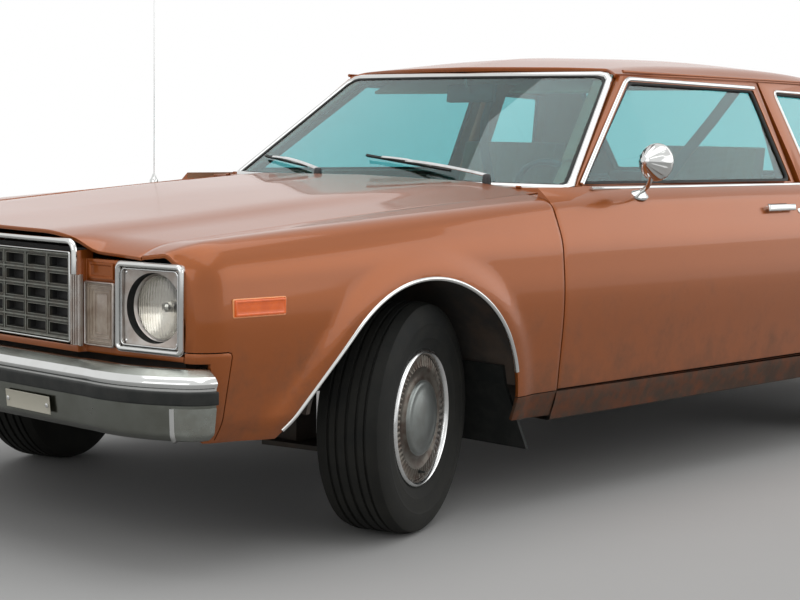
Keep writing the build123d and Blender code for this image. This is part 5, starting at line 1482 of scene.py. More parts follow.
def headlamp_well(name, sign, place):
    """The recessed inside of a headlamp bezel, down to the lamp's ring."""
    steps = [(5, -2), (12, -3), (12.6, -9), (14.4, -9), (14.9, -3), (17, -2.5), (18.5, -8)]
    rows = []
    middle = LAMP_SHIFT * sign
    for inset, depth in steps:
        loop = rounded_loop(BEZEL_WIDE - 2 * inset, BEZEL_HIGH - 2 * inset, max(16 - inset * 0.7, 4), 8)
        rows.append([local(a, b, depth) for a, b in by_angle(loop, middle)])
    for radius, depth in ((LAMP_RADIUS + 2.2, -10), (LAMP_RADIUS + 1, -44)):
        turns = (2 * math.pi * i / len(rows[0]) for i in range(len(rows[0])))
        rows.append([local(middle + radius * math.cos(t), radius * math.sin(t), depth) for t in turns])
    for row in rows:
        row.append(row[0])
    well = sheet_piece(name, rows, (0, 0, 1))
    mesh = edit(well)
    bmesh.ops.remove_doubles(mesh, verts=mesh.verts, dist=1e-6)
    done(well, mesh)
    dress(well, "bezel", "recess_shade")
    # The gap inside the rim and the deep wall down to the lamp take near-black: painted shadow.
    for face in well.data.polygons:
        x, y, z = face.center / MM
        gap = max(abs(x) - BEZEL_WIDE / 2, abs(y) - BEZEL_HIGH / 2) > -15.2
        if gap and z < -5 or z < -20:
            face.material_index = 1
    put(well, place)
    wall(well, 1.0)
    return well


def build_headlamps(scene):
    for side, sign in SIDES:
        normal = (sign * math.sin(BEZEL_SLANT), -math.cos(BEZEL_SLANT), 0)
        across, station, height = HEADLAMP_CENTRE
        place = facing(sign * across, station, height, normal)
        lamp_place = place @ shift(LAMP_SHIFT * sign, 0)
        for name, inset, strip, key in (
            ("rim", 6.5, half_round(14, 9), "chrome"), ("lip", 17, half_round(4, 3), "bright"),
        ):
            loop = rounded_loop(BEZEL_WIDE - 2 * inset, BEZEL_HIGH - 2 * inset, 12, 10)
            trim(
                f"headlamp_{name}_{side}", loop_at(place, loop, -1), strip, normal, key, "headlamp_bezels",
                slot="chrome", closed=True,
            )
        loop = rounded_loop(BEZEL_WIDE - 1, BEZEL_HIGH - 1, 15, 10)
        rows = [loop_at(place, loop + loop[:1], depth) for depth in (0, -20)]
        skirt = sheet_piece(f"headlamp_skirt_{side}", rows, (0, 0, 1))
        wall(skirt, 1.5)
        finish_piece(skirt, "chrome", "headlamp_bezels")
        well = headlamp_well(f"headlamp_well_{side}", sign, place)
        finish_piece(well, None, "headlamp_bezels", slot="chrome", angle=25)
        ring = turned(f"headlamp_ring_{side}", LAMP_RING, 72, closed=True)
        small_part(ring, lamp_place, "bezel", angle=50)
        bowl_line = [(r, -46 - 30 * (1 - (r / LAMP_RADIUS) ** 2)) for r in between(0.5, LAMP_RADIUS - 1, 12)]
        bowl_line += [(r, h - 1.5) for r, h in bowl_line[::-1]]
        bowl = turned(f"headlamp_bowl_{side}", bowl_line, 48, closed=True)
        small_part(bowl, lamp_place, "reflector", "front_lamps", angle=50)
        lens = fluted_lens(f"headlamp_lens_{side}", LAMP_RADIUS, 13)
        put(lens, shift(0, 0, -44))
        wall(lens, 2.5)
        small_part(lens, lamp_place, "lens", "front_lamps", angle=40)
        bulb = turned(f"headlamp_bulb_{side}", [(0.5, -50), (9, -52), (13, -58), (13, -66), (0.5, -70)], 24)
        small_part(bulb, lamp_place, "chrome", angle=50)
        screws = []
        for a, b in ((-80, 84), (80, 84), (-80, -84), (80, -84)):
            screw = turned("screw", [(0.3, 2.6), (3.0, 2.2), (4.4, 0.8), (4.6, -2)], 16)
            screws.append(put(screw, place @ shift(a, b, -9)))
        finish_piece(join(f"headlamp_screws_{side}", *screws), "bright", angle=40)


def build_turn_lamps(scene):
    for side, sign in SIDES:
        normal = (sign * 0.085, -1, 0)
        across, station, height = TURN_LAMP_CENTRE
        place = facing(sign * across, station, height, normal)
        path = loop_at(place, rounded_loop(*TURN_LAMP_SIZE, 3, 4))
        trim(f"turn_lamp_rim_{side}", path, half_round(5, 5), normal, "bezel", closed=True)
        lens = framed_plate(
            f"turn_lamp_lens_{side}", *TURN_LAMP_SIZE,
            [
                (2, -4), (5, 0), (1, 3), (2, 0), (1, -5), (5, 0), (1, 3), (1.5, 0), (1, -4), (7, 0), (1, 2),
                (1.5, 0), (1, -3), (5, 1),
            ],
        )
        wall(lens, 2)
        small_part(lens, place, "turn_lens", "front_lamps", angle=20)


MARKER_HEIGHT = 671
MARKER_REACH = 75


def build_markers(scene):
    for end, station, slot, colour in (
        ("front", 315, "lamp_amber", "amber"), ("rear", 4641, "lamp_red", "red"),
    ):
        for side, sign in SIDES:
            edge = FENDER_EDGE if end == "front" else QUARTER_EDGE
            ahead = side_x(station - MARKER_REACH, MARKER_HEIGHT, edge)
            behind = side_x(station + MARKER_REACH, MARKER_HEIGHT, edge)
            normal = Vector((sign, (ahead - behind) / (2 * MARKER_REACH), 0)).normalized()
            place = facing(sign * ((ahead + behind) / 2 + 1), station, MARKER_HEIGHT, normal)
            lens = framed_plate(
                f"side_marker_{end}_{side}", 158, 40, [(0.8, 6), (1.2, 1.2), (3.5, 0), (0.8, -1.6), (9, 0.6)],
            )
            soften(lens, 0.8, 2, 20)
            small_part(lens, place, colour, "side_markers", slot=slot, angle=25)
            path = loop_at(place, rounded_loop(161, 43, 3, 4), -0.5)
            key = "amber_edge" if end == "front" else "bright"
            strip = half_round(4.5, 3, 6)
            trim(f"side_marker_rim_{end}_{side}", path, strip, normal, key, slot="chrome", closed=True)


# Mouldings

def glasshouse_x(station, z):
    """Half-width of the leaning window side, in millimetres."""
    stations = [g[0] for g in GLASSHOUSE]
    belt = float(np.interp(station, stations, [g[1] for g in GLASSHOUSE]))
    rail = float(np.interp(station, stations, [g[2] for g in GLASSHOUSE]))
    return belt + (rail - belt) * (z - BELT) / (RAIL - BELT)


def refine(path, step=30.0):
    """The same broken line with points no further apart than the step."""
    line = []
    for a, b in zip(path, path[1:]):
        count = max(1, int(math.dist(a, b) / step))
        line += [tuple(p + (q - p) * i / count for p, q in zip(a, b)) for i in range(count)]
    return line + [tuple(path[-1])]


def round_corners(path, radius, steps=6, closed=False):
    """A broken line with its corners rounded."""
    points = [np.array(p, float) for p in path]
    line = []
    for i, corner in enumerate(points):
        if not closed and i in (0, len(points) - 1):
            line.append(tuple(corner))
            continue
        _, _, curve = corner_curve(corner, points[i - 1], points[(i + 1) % len(points)], radius, 0.45)
        line += [tuple(curve(k / steps)) for k in range(steps + 1)]
    return line


def curve_between(start, bend, end, count):
    """Points on a smooth curve from start to end, drawn towards the bend."""
    return [start * (1 - t) ** 2 + bend * 2 * t * (1 - t) + end * t**2 for t in between(0, 1, count)]


def side_strip(name, line, out, profile, sign, lean=0.44, key="chrome", body="body", closed=False):
    """A strip on the leaning window side along a (station, z) line, lifted out in millimetres."""
    path = [point(sign * (glasshouse_x(s, z) + out), s, z) for s, z in line]
    trim(name, path, profile, Vector((sign, 0, lean)).normalized(), key, closed=closed, body=body)


def window_strip(name, outline, inset, out, profile, sign, key="chrome", body="body"):
    """A strip round a side window."""
    middle = np.mean(np.array(outline, float), axis=0)
    drawn = []
    for place in np.array(outline, float):
        away = place - middle
        drawn.append(tuple(place - away / np.linalg.norm(away) * inset))
    line = round_corners(drawn, 26, 6, closed=True)
    line = refine(line + [line[0]], 45)[:-1]
    side_strip(name, line, out, profile, sign, key=key, body=body, closed=True)


def build_mouldings(scene):
    amount = scene.car_trim.arch_band / MM
    for side, sign in SIDES:
        for name, outline, edge in (
            ("front", [p for p in front_arch_outline(2, 356)[1:] if p[0] < 915 or p[1] > 418], FENDER_EDGE),
            ("rear", rear_arch_outline(2, 372), QUARTER_EDGE),
        ):
            path = []
            for station, z in refine(outline, 25):
                x = side_x(station, z, edge) + amount * (1 if z < 845 else (905 - z) / 60)
                path.append(point(sign * (x - 3), station, z))
            trim(f"arch_moulding_{name}_{side}", path, half_round(13, 7), (sign, 0, 0), "chrome")
        body = f"{side}_door"
        frame_line = refine(round_corners([(1736, 950), (2145, 1281), (2878, 1271)], 26), 40)
        side_strip(f"door_window_trim_{side}", frame_line, 1, half_round(15, 5), sign, body=body)
        window_strip(f"door_window_seal_{side}", DOOR_WINDOW, 6, -9, half_round(16, 6), sign, "rubber", body)
        window_strip(f"quarter_window_trim_{side}", QUARTER_WINDOW, -8, 0.5, half_round(11, 4), sign)
        window_strip(f"quarter_window_seal_{side}", QUARTER_WINDOW, 6, -10, half_round(14, 6), sign, "rubber")
        rail = refine(round_corners([(2134, 1303), (3452, 1301), (3960, 950)], 90, 10), 40)
        side_strip(f"drip_rail_{side}", rail, 3, half_round(11, 6), sign, 0.6, "paint")
        up = Vector((sign * 0.65, 0, 0.75)).normalized()
        for name, first, last, count, rides in (
            ("door", 1738, 2936, 30, body), ("quarter", 2966, 3560, 18, "body"),
        ):
            low = [point(sign * 812, s, 938.5) for s in between(first, last, count)]
            trim(f"{name}_belt_{side}", low, half_round(12, 5), up, "chrome", body=rides)


# Door furniture

HANDLE_STATION = 2706
HANDLE_HEIGHT = 864
LOCK_PLACE = (2835, 850)


def build_handles(scene):
    for side, sign in SIDES:
        body = f"{side}_door"
        grip = framed_plate(f"door_handle_{side}", 168, 24, [(1.0, 5), (2.5, 3), (4, 0.8)])
        wall(grip, 3)
        soften(grip, 1.4, 3, 25)
        x = side_x(HANDLE_STATION, HANDLE_HEIGHT, DOOR_EDGE)
        place = facing(sign * (x + 13), HANDLE_STATION, HANDLE_HEIGHT, (sign, 0, 0.12))
        small_part(grip, place, "chrome", f"door_fittings_{side}", body=body, angle=45)
        for end in (-1, 1):
            station = HANDLE_STATION + end * 66
            path = [point(sign * (x + out), station, HANDLE_HEIGHT + up) for out, up in ((-6, -2), (14, 0))]
            post = rounded_loop(24, 15, 5, 4)
            trim(f"door_handle_post_{side}_{end + 1}", path, post, (0, 0, 1), "chrome", body=body)
        # A near-black cup behind the handle: painted shade.
        cup = framed_plate(f"door_handle_cup_{side}", 118, 30, [(1.5, 0.8), (3, -0.6)])
        place = facing(sign * (x - 1.2), HANDLE_STATION, HANDLE_HEIGHT - 2, (sign, 0, 0.16))
        small_part(cup, place, "recess_shade", body=body, angle=45)
        lock = turned(f"door_lock_{side}", [(0.4, 3.4), (7, 3.2), (9, 2.4), (10, -2)], 24)
        place = facing(sign * side_x(*LOCK_PLACE, DOOR_EDGE), *LOCK_PLACE, (sign, 0, 0.16))
        small_part(lock, place, "chrome", body=body, angle=40)


def build_mirror(scene):
    on_door = {"body": "left_door", "angle": 50}
    profile = [(56 - 40 * share**1.5, -28 + 66 * share) for share in between(0, 1, 13)]
    shell = turned("mirror_shell", [(54, -30)] + profile + [(8, 41), (0.4, 42)], 96)
    for vertex in shell.data.vertices:
        angle = math.atan2(vertex.co.y, vertex.co.x)
        share = (vertex.co.z / MM + 28) / 66
        if vertex.co.xy.length > 0.006 and 0 < share < 0.98:
            vertex.co.xy *= 1 - 0.055 * abs(math.sin(angle * 8)) * min(1.0, share * 4)
    place = axes(point(930, 1878, 1021), (1, 0, 0), (0.10, -1, 0.05))
    small_part(shell, place, "chrome", "door_fittings_left", **on_door)
    rim = turned("mirror_rim", [(53, -33), (56, -34), (58, -31), (57, -26), (54, -25)], 64, closed=True)
    small_part(rim, place, "chrome", **on_door)
    glass = turned("mirror_glass", [(0.4, -31.5), (30, -31.2), (54, -30)], 64)
    wall(glass, 1.0)
    small_part(glass, place, "mirror", **on_door)
    path = curve_between(point(925, 1886, 980), point(905, 1912, 944), point(848, 1942, 926), 12)
    trim("mirror_stalk", path, tube_profile(7.5, 16), (0, 1, 0.2), "chrome", **on_door)
    foot = turned("mirror_foot", [(0.4, 15), (10, 14), (16, 9), (24, 4), (30, 0), (30, -6)], 48)
    put(foot, Matrix.Diagonal((0.75, 1.25, 1, 1)))
    small_part(foot, axes(point(845, 1944, 918), (1, 0, 0), (0.55, 0, 0.83)), "chrome", **on_door)


WIPER_ARMS = (
    ("left", (518, 1597, 962), (124, 1654, 1006), (-81, 1676, 1023), (330, 1637, 985)),
    ("right", (-230, 1597, 962), (-490, 1684, 1001), (-650, 1739, 1009), (-330, 1637, 982)),
)
BLADE_PROFILE = [(-4, 3), (-4, -1), (-1, -7), (1, -7), (4, -1), (4, 3)]


def build_wipers(scene):
    off_glass = Vector((0, -0.6, 0.8))
    for side, pivot, middle, tip, tail in WIPER_ARMS:
        boss = turned(f"wiper_boss_{side}", [(0.4, 13), (8, 12), (12, 9), (14, 0), (14, -28)], 32)
        small_part(boss, Matrix.Translation(point(*pivot)), "plastic", "wipers", slot="wiper_steel", angle=45)
        start, end = point(*pivot) + Vector((0, 0, 0.008)), point(*middle)
        arm_path = curve_between(start, (start + end) / 2 + Vector((0, -0.012, 0.010)), end, 10)
        a, b = point(*tail), point(*tip)
        lifts = ((0.2, 0), (0.35, 1), (0.5, 1.6), (0.65, 1), (0.8, 0))
        yoke_path = [a.lerp(b, share) + off_glass * 0.004 * lift for share, lift in lifts]
        for name, path, section in (("arm", arm_path, (12, 5, 2, 3)), ("yoke", yoke_path, (9, 4, 1.5, 3))):
            steel = {"slot": "wiper_steel", "angle": 45}
            trim(f"wiper_{name}_{side}", path, rounded_loop(*section), off_glass, "bright", "wipers", **steel)
        blade_path = [a.lerp(b, share) - off_glass * 0.005 for share in (0, 0.5, 1)]
        trim(f"wiper_blade_{side}", blade_path, BLADE_PROFILE, off_glass, "rubber", "wipers", angle=30)


def build_antenna(scene):
    x, station = -778, 1333
    base = turned("antenna_base", [(0.4, 26), (4, 25), (7, 18), (11, 8), (15, 3), (15, -8)], 32)
    small_part(base, Matrix.Translation(point(x, station, 915)), "chrome", "antenna", angle=45)
    path = [point(x, station, height) for height in (935, 1100, 1400, 1684)]
    trim("antenna_mast", path, tube_profile(1.9, 10), (0, 1, 0), "bright", "antenna", angle=45)
    ball = turned("antenna_tip", [(0.2, 6), (2.6, 4.5), (3.6, 1.5), (3.4, -2), (1.9, -5)], 16)
    small_part(ball, Matrix.Translation(point(x, station, 1683)), "chrome", angle=45)


# Wheels

KINGPIN_HALF = 696.0
REAR_TRACK_HALF = 743.0
REST_STEER = 20.0
TYRE_INSIDE = [
    (186, -72), (192, -80), (204, -84), (222, -90), (246, -96), (268, -98.5), (288, -97), (297, -93),
    (305, -91), (312, -86), (316, -76), (318.5, -68),
]
TREAD = [
    (319.2, -57), (311.5, -56), (311.5, -49), (319.5, -48), (319.8, -33), (311.5, -32), (311.5, -25),
    (320, -24), (320, -5), (311.5, -4),
]
TYRE_OUTSIDE = [
    (268, 98.5), (262, 98.8), (259, 97.2), (252, 97), (230, 93), (222, 92.2), (219, 89.5), (208, 86),
    (196, 82), (186, 72),
]
TYRE_PROFILE = TYRE_INSIDE + TREAD + [(r, -h) for r, h in (TYRE_INSIDE[6:] + TREAD)[::-1]] + TYRE_OUTSIDE
RING_PROFILE = [
    (191, 68), (192.5, 76), (191, 83), (187, 87), (183, 88), (179, 86), (176.5, 81), (175, 74), (175, 66),
]
DISH_LINE = [
    (177, 64), (174, 71), (168, 74), (152, 76), (141, 77), (134, 73), (118, 70), (108, 74), (104, 80),
]
CAP_PROFILE = [
    (105, 78), (103, 84), (99, 87.5), (94, 88.5), (88, 88), (80, 90), (64, 94.5), (44, 98), (24, 100),
    (0.4, 100.8),
]
BARREL_PROFILE = [
    (188, -75), (192, -71), (187, -66), (178, -60), (170, -20), (168, 30), (176, 60), (186, 64), (190, 70),
    (187, 72), (180, 66), (170, 58), (120, 56), (60, 52), (60, 40), (120, 46), (160, 50), (162, 20),
    (164, -20),
    (172, -62), (182, -70), (184, -75),
]


def ring_step(co, steps):
    """Which of the even steps round the Z axis a point lies at."""
    return round(math.degrees(math.atan2(co.y, co.x)) / (360 / steps))


def build_tyre(name, blocks):
    """A tyre on its own axis, with grooves round it and slots across its shoulders."""
    tyre = turned(name, TYRE_PROFILE, blocks * 2, closed=True)
    for vertex in tyre.data.vertices:
        radius, height = vertex.co.xy.length / MM, abs(vertex.co.z) / MM
        slot = ring_step(vertex.co, blocks * 2) % 2
        if slot and (height > 60 or height < 50) and radius > 313:
            vertex.co.xy *= (radius - (4.2 if height > 60 else 1.4)) / radius
    return tyre


def wheel_cover(name, ribs):
    """The parts of a wheel cover on their own axis: trim ring, ribbed dish and cap."""
    ring = turned(f"{name}_ring", RING_PROFILE, 96, closed=True)
    dress(ring, "bright")
    band = turned(f"{name}_band", DISH_LINE + [(r, h - 3) for r, h in DISH_LINE[::-1]], ribs * 4, closed=True)
    dress(band, "cover", "recess_shade")
    for vertex in band.data.vertices:
        if 146 < vertex.co.xy.length / MM < 171 and ring_step(vertex.co, ribs * 4) % 4 in (0, 1):
            vertex.co.z -= 6 * MM
    # The slots between the ribs take near-black: painted shade.
    for face in band.data.polygons:
        if 145 < face.center.xy.length / MM < 171 and face.center.z < 0.0702:
            face.material_index = 1
    cap = turned(f"{name}_cap", CAP_PROFILE, 96)
    dress(cap, "cap")
    for piece in (ring, band, cap):
        shade(piece, 38)
    return join(f"{name}_cover", ring, band, cap)


def build_wheels(scene):
    wheels = scene.car_wheels
    tyre = build_tyre("tyre_model", wheels.tread)
    cover = wheel_cover("wheel_model", wheels.ribs)
    barrel = turned("barrel_model", BARREL_PROFILE, 72, closed=True)
    stem = turned("stem_model", [(0.4, 12), (2.6, 12), (3, 2), (4.5, 0), (4.5, -14)], 12)
    put(stem, shift(150, 0, 82))
    for model, key, angle in ((tyre, "tyre", 30), (barrel, "cover", 35), (stem, "rubber", 30)):
        dress(model, key)
        shade(model, angle)
    for front in (True, False):
        for side, sign in SIDES:
            name = f"{'front' if front else 'rear'}_{side}"
            place = Matrix.Rotation(math.pi / 2 * sign, 4, "Y")
            if front:
                turn = Matrix.Rotation(math.radians(REST_STEER), 4, "Z")
                place = turn @ shift(sign * 66, 0) @ place
            half, axle = (KINGPIN_HALF, FRONT_AXLE) if front else (REAR_TRACK_HALF, REAR_AXLE)
            hub = point(sign * half, axle, HUB_HEIGHT)
            place = Matrix.Translation(hub) @ place
            for model, piece_name, slot, nodes in (
                (tyre, f"tyre_{name}_tread", "tyre", (f"tyre_{name}",)),
                (cover, f"wheel_cover_{name}", "wheel_steel", (f"rim_{name}",)),
                (barrel, f"wheel_barrel_{name}", "wheel_steel", (f"rim_{name}",)),
                (stem, f"valve_stem_{name}", "tyre", ()),
            ):
                piece = put(add_object(piece_name, model.data.copy()), place)
                finish_piece(piece, None, *nodes, body=f"{name}_wheel", slot=slot, angle=None)
    for model in (tyre, cover, barrel, stem):
        bpy.data.objects.remove(model)


# Tail

TAIL_RIBS = [
    (1, 6), (5, 2), (9, 0), (1, -3), (9, 0), (1, 3), (9, 0), (1, -3), (9, 0), (1, 3), (8, 0), (1, -3),
]
TAIL_LAMP_HEIGHT = 684


def build_tail(scene):
    back = (0, 1, 0)
    for side, sign in SIDES:
        place = facing(sign * 597, TAIL_STATION, TAIL_LAMP_HEIGHT, back)
        rim_path = loop_at(place, rounded_loop(338, 164, 10, 6), 4)
        trim(f"tail_lamp_rim_{side}", rim_path, half_round(12, 8), back, "chrome", closed=True)
        lens = framed_plate(f"tail_lamp_lens_{side}", 330, 156, TAIL_RIBS)
        soften(lens, 0.8, 2, 20)
        small_part(lens, place, "red", "tail_lamps", angle=25)
        bars = []
        for z in (-40, 0, 40):
            path = loop_at(place, [(a, z) for a in (-160, 0, 160)], 8)
            bars.append(moulding("bar", path, half_round(5, 4, 6), back))
        finish_piece(join(f"tail_lamp_bars_{side}", *bars), "bright")
        reverse = framed_plate(f"reverse_lamp_{side}", 64, 34, [(0.5, 12), (2, 1), (4, -1.5), (5, 1)])
        small_part(reverse, facing(sign * 470, TAIL_STATION, TAIL_LAMP_HEIGHT, back), "turn_lens", angle=25)
    for name, width, height, place in (
        ("rear_plate", 304, 152, facing(0, TAIL_STATION + 3, 700, back)),
        ("front_plate", 190, 46, facing(366, 8, 406, (0, -1, -0.1))),
    ):
        plate = framed_plate(name, width, height, [(0.6, 1.2), (3, 0), (0.6, -0.8)])
        wall(plate, 1.5)
        soften(plate, 0.4, 1, 30)
        small_part(plate, place, "plate", angle=30)
        bolts = []
        for x in (-84, 84):
            bolts.append(put(turned("bolt", [(0.3, 4.5), (4, 4.2), (6, 3), (6, 0)], 20), place @ shift(x, 0)))
        finish_piece(join(f"{name}_bolts", *bolts), "bright", angle=30)


# Seats and cabin

def cushion(name, low_x, high_x, profile):
    """A padded block. Profile: (station, z) of the low front, low rear, high front and high rear edges."""
    turns = ((low_x, high_x), (high_x, low_x)) * 2
    corners = [point(x, s, z) for (s, z), ends in zip(profile, turns) for x in ends]
    faces = [(0, 3, 2, 1), (4, 5, 6, 7), (0, 1, 5, 4), (1, 2, 6, 5), (2, 3, 7, 6), (3, 0, 4, 7)]
    obj = mesh_piece(name, corners, faces)
    face_out(obj)
    select_only(obj)
    bpy.ops.object.mode_set(mode="EDIT")
    bpy.ops.mesh.select_all(action="SELECT")
    bpy.ops.mesh.subdivide(number_cuts=7)
    bpy.ops.object.mode_set(mode="OBJECT")
    soften(obj, 22, 3, 40)
    modify(obj, "SUBSURF", levels=2, render_levels=2)
    return obj


def plump(obj, top, seams, depth=9.0):
    """Crown a cushion's face and sink sewn channels into it, at shares of its half-width."""
    co = np.array([v.co for v in obj.data.vertices], float)
    normals = np.array([v.normal for v in obj.data.vertices], float)
    low, high = co.min(0)[0], co.max(0)[0]
    half = (high - low) / 2 + 1e-6
    across = (co[:, 0] - (low + high) / 2) / half
    sink = sum(np.exp(-(((across - seam) * half / 0.009) ** 2)) for seam in seams)
    move = ((1 - across**2) * 0.010 - np.clip(sink, 0, 1) * depth * MM) * np.clip(
        normals @ np.array(top, float), 0, 1,
    )
    for vertex, shift_by in zip(obj.data.vertices, move):
        vertex.co += Vector(top) * float(shift_by)
    obj.data.update()


def padded_seat(name, node, low_x, high_x, profile, top, seams):
    """A seat's base or back with its sewn channels."""
    seat = cushion(name, low_x, high_x, profile)
    plump(seat, top, seams)
    finish_piece(seat, "cloth", node, angle=60)


def build_seats(scene):
    seams = (-0.62, -0.21, 0.21, 0.62)
    for side, sign in SIDES:
        ends = sorted((sign * 212, sign * 678))
        padded_seat(
            f"front_seat_base_{side}", "front_seats", *ends,
            [(2275, 425), (2780, 425), (2268, 548), (2715, 512)],
            (0, -0.05, 1), seams,
        )
        padded_seat(
            f"front_seat_back_{side}", "front_seats", *ends,
            [(2722, 470), (2838, 470), (2858, 1062), (2928, 1062)],
            (0, -0.97, 0.22), seams,
        )
        outline = [(2350, 295), (2730, 295), (2730, 318), (2700, 430), (2380, 430), (2350, 318)]
        rails = [prism(outline, "x", sign * x - 12, sign * x + 12) for x in (300, 590)]
        runner = join(f"front_seat_rails_{side}", *rails)
        soften(runner, 2)
        finish_piece(runner, "under")
    seams = (-0.7, -0.35, 0, 0.35, 0.7)
    padded_seat(
        "rear_seat_base", "rear_seat", -560, 560, [(3100, 490), (3530, 480), (3105, 612), (3470, 596)],
        (0, 0, 1), seams,
    )
    padded_seat(
        "rear_seat_back", "rear_seat", -560, 560, [(3405, 560), (3532, 500), (3485, 868), (3540, 868)],
        (0, -0.97, 0.2), seams,
    )


def build_steering_wheel():
    slope = math.radians(26)
    place = axes(point(370, 2150, 845), (1, 0, 0), (0, math.cos(slope), math.sin(slope)))
    rim_profile = [(178 + a, b) for a, b in tube_profile(11, 14)]
    rim = turned("steering_rim", rim_profile, 72, closed=True)
    hub_profile = [(0.4, 22), (30, 20), (44, 12), (46, -8), (30, -18), (14, -40), (13, -110), (0.4, -110)]
    spokes = []
    for angle in (-20, 200):
        across, up = math.cos(math.radians(angle)), math.sin(math.radians(angle))
        path = [local(r * across, r * up, h) for r, h in ((30, 6), (90, 8), (140, 4), (176, 0))]
        spokes.append(moulding("spoke", path, rounded_loop(32, 9, 4, 4), (0, 0, 1)))
    wheel = join("steering_wheel_rim", rim, turned("steering_hub", hub_profile, 40), *spokes)
    small_part(wheel, place, "plastic", "steering_wheel", body="hand_wheel", slot="trim_black", angle=40)


def build_headliner():
    rows = []
    for station in between(2140, 3460, 40):
        crown, x1, z1, x2, z2, x3 = smooth_row(ROOF_SECTIONS, station)[:6]
        line = rounded(
            [(0.0, crown - 34), (x1, z1 - 34), (x2 - 30, z2 - 38), (x3 - 40, 1285)], (80, 30), 5, 4,
        )
        left = [point(x, station, z) for x, z in line]
        rows.append([point(-x, station, z) for x, z in line[:0:-1]] + left)
    liner = sheet_piece("headliner", rows, (0, 0, -1))
    wall(liner, 3)
    finish_piece(liner, "liner")


BELT_LINE = [
    (562, 2890, 1262), (528, 2802, 1152), (470, 2735, 1040), (400, 2695, 920), (300, 2685, 740),
    (206, 2700, 560),
]


def build_cabin(scene):
    board = cad_copy("dashboard", "dashboard_cover")
    soften(board, 14, 4)
    finish_piece(board, "dash", "dashboard")
    outline = [(1960, 905), (2004, 900), (2012, 860), (2008, 800), (1990, 770), (1950, 770)]
    pod = prism(outline, "x", 170, 570, "instrument_pod")
    soften(pod, 9, 3)
    finish_piece(pod, "dash")
    build_steering_wheel()
    build_headliner()
    for side, sign in SIDES:
        visor = framed_plate(f"sun_visor_{side}", 360, 140, [(3, 4), (5, 2)])
        wall(visor, 8)
        soften(visor, 4, 3)
        small_part(visor, axes(point(sign * 320, 2205, 1262), (1, 0, 0), (0, -0.5, 1.2)), "liner", angle=40)
        path = [point(sign * x, s, z) for x, s, z in BELT_LINE]
        webbing = rounded_loop(46, 2.4, 1, 2)
        trim(f"seat_belt_{side}", path, webbing, (0.2 * sign, -0.8, 0.5), "belt", angle=30)
        outline = [(2250, 640), (2760, 640), (2770, 700), (2250, 690)]
        rest = prism(outline, "x", sign * 735, sign * 700, f"arm_rest_{side}")
        soften(rest, 10, 3)
        finish_piece(rest, "vinyl", body=f"{side}_door")
    glass = framed_plate("interior_mirror", 230, 62, [(1, 3), (4, 0), (1, -1.5)])
    wall(glass, 12)
    soften(glass, 3, 3)
    small_part(glass, axes(point(0, 2118, 1232), (1, 0, 0), (0.08, 1, -0.1)), "plastic", angle=40)
    path = [point(0, 2110, 1236), point(0, 2085, 1262), point(0, 2080, 1284)]
    trim("interior_mirror_stem", path, tube_profile(6), (1, 0, 0), "bright", slot="interior")


GEARBOX_PROFILE = [(0.4, 0), (94, 0), (95, 50), (84, 160), (78, 420), (64, 600), (40, 645), (0.4, 648)]
CLEANER_PROFILE = [
    (0.4, 48), (9, 47), (11, 39), (60, 37), (68, 31), (150, 31), (168, 27), (176, 15), (176, -8),
    (165, -14), (90, -16),
]
PULLEY_PROFILE = [(0.4, 27), (30, 26), (34, 16), (84, 14), (90, 20), (94, 14), (92, 4), (60, 0)]
VALVE_COVER = ((118, 640), (206, 548), (262, 596), (266, 650), (196, 716), (132, 706))


def build_engine(scene):
    crank = prism([(668, 312), (1346, 312), (1346, 640), (668, 640)], "x", -205, 205)
    intake = prism([(-112, 620), (112, 620), (88, 742), (-88, 742)], "y", 740, 1270)
    covers = [prism([(sign * x, z) for x, z in VALVE_COVER], "y", 700, 1312) for _, sign in SIDES]
    for part, width in ((crank, 20), (intake, 16), (covers[0], 14), (covers[1], 14)):
        soften(part, width, 3)
    gearbox = turned("gearbox", GEARBOX_PROFILE, 40)
    put(gearbox, axes(point(0, 1346, 383), (1, 0, 0), (0, 1, 0)))
    cleaner = turned("air_cleaner", CLEANER_PROFILE, 56)
    put(cleaner, Matrix.Translation(point(0, 1000, 741)))
    pulley = turned("pulley", PULLEY_PROFILE, 40)
    put(pulley, facing(0, 668, 440))
    for part in (crank, intake, gearbox, *covers):
        dress(part, "engine")
    dress(cleaner, "plastic")
    dress(pulley, "under")
    engine = join("engine", crank, intake, gearbox, cleaner, pulley, *covers)
    finish_piece(engine, None, "engine_block", slot="engine", angle=40)


# Finishes of the CAD nodes whose shape stays
UNDERSIDE = {
    "under": (
        "floor_pan", "front_aprons", "front_crossmember", "radiator_support", "rear_axle", "leaf_springs",
        "fuel_tank", "knuckle_left", "knuckle_right",
    ),
    "pipe": ("exhaust",),
    "plastic": ("steering_column",),
    "rubber": ("mud_flaps",),
}


def build_under(scene):
    for key, nodes in UNDERSIDE.items():
        for node in nodes:
            dress(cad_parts[node], key)
    carpet = prism([(1570, 296), (2940, 296), (2940, 291), (1570, 291)], "x", -740, 740, "carpet_front")
    cut(carpet, prism([(-200, 1000), (200, 1000), (200, 3000), (-200, 3000)], "z", 200, 400))
    soften(carpet, 1)
    finish_piece(carpet, "carpet")


# Stage

def seen_background(tree):
    """A node that gives 1 for what the camera, metal and glass show of the background, else 0."""
    rays = tree.nodes.new("ShaderNodeLightPath")
    first, second = (add_node(tree, "Math", operation="MAXIMUM") for _ in range(2))
    wire(
        tree, (rays, "Is Camera Ray", first, 0), (rays, "Is Glossy Ray", first, 1),
        (first, "Value", second, 0), (rays, "Is Transmission Ray", second, 1),
    )
    return second


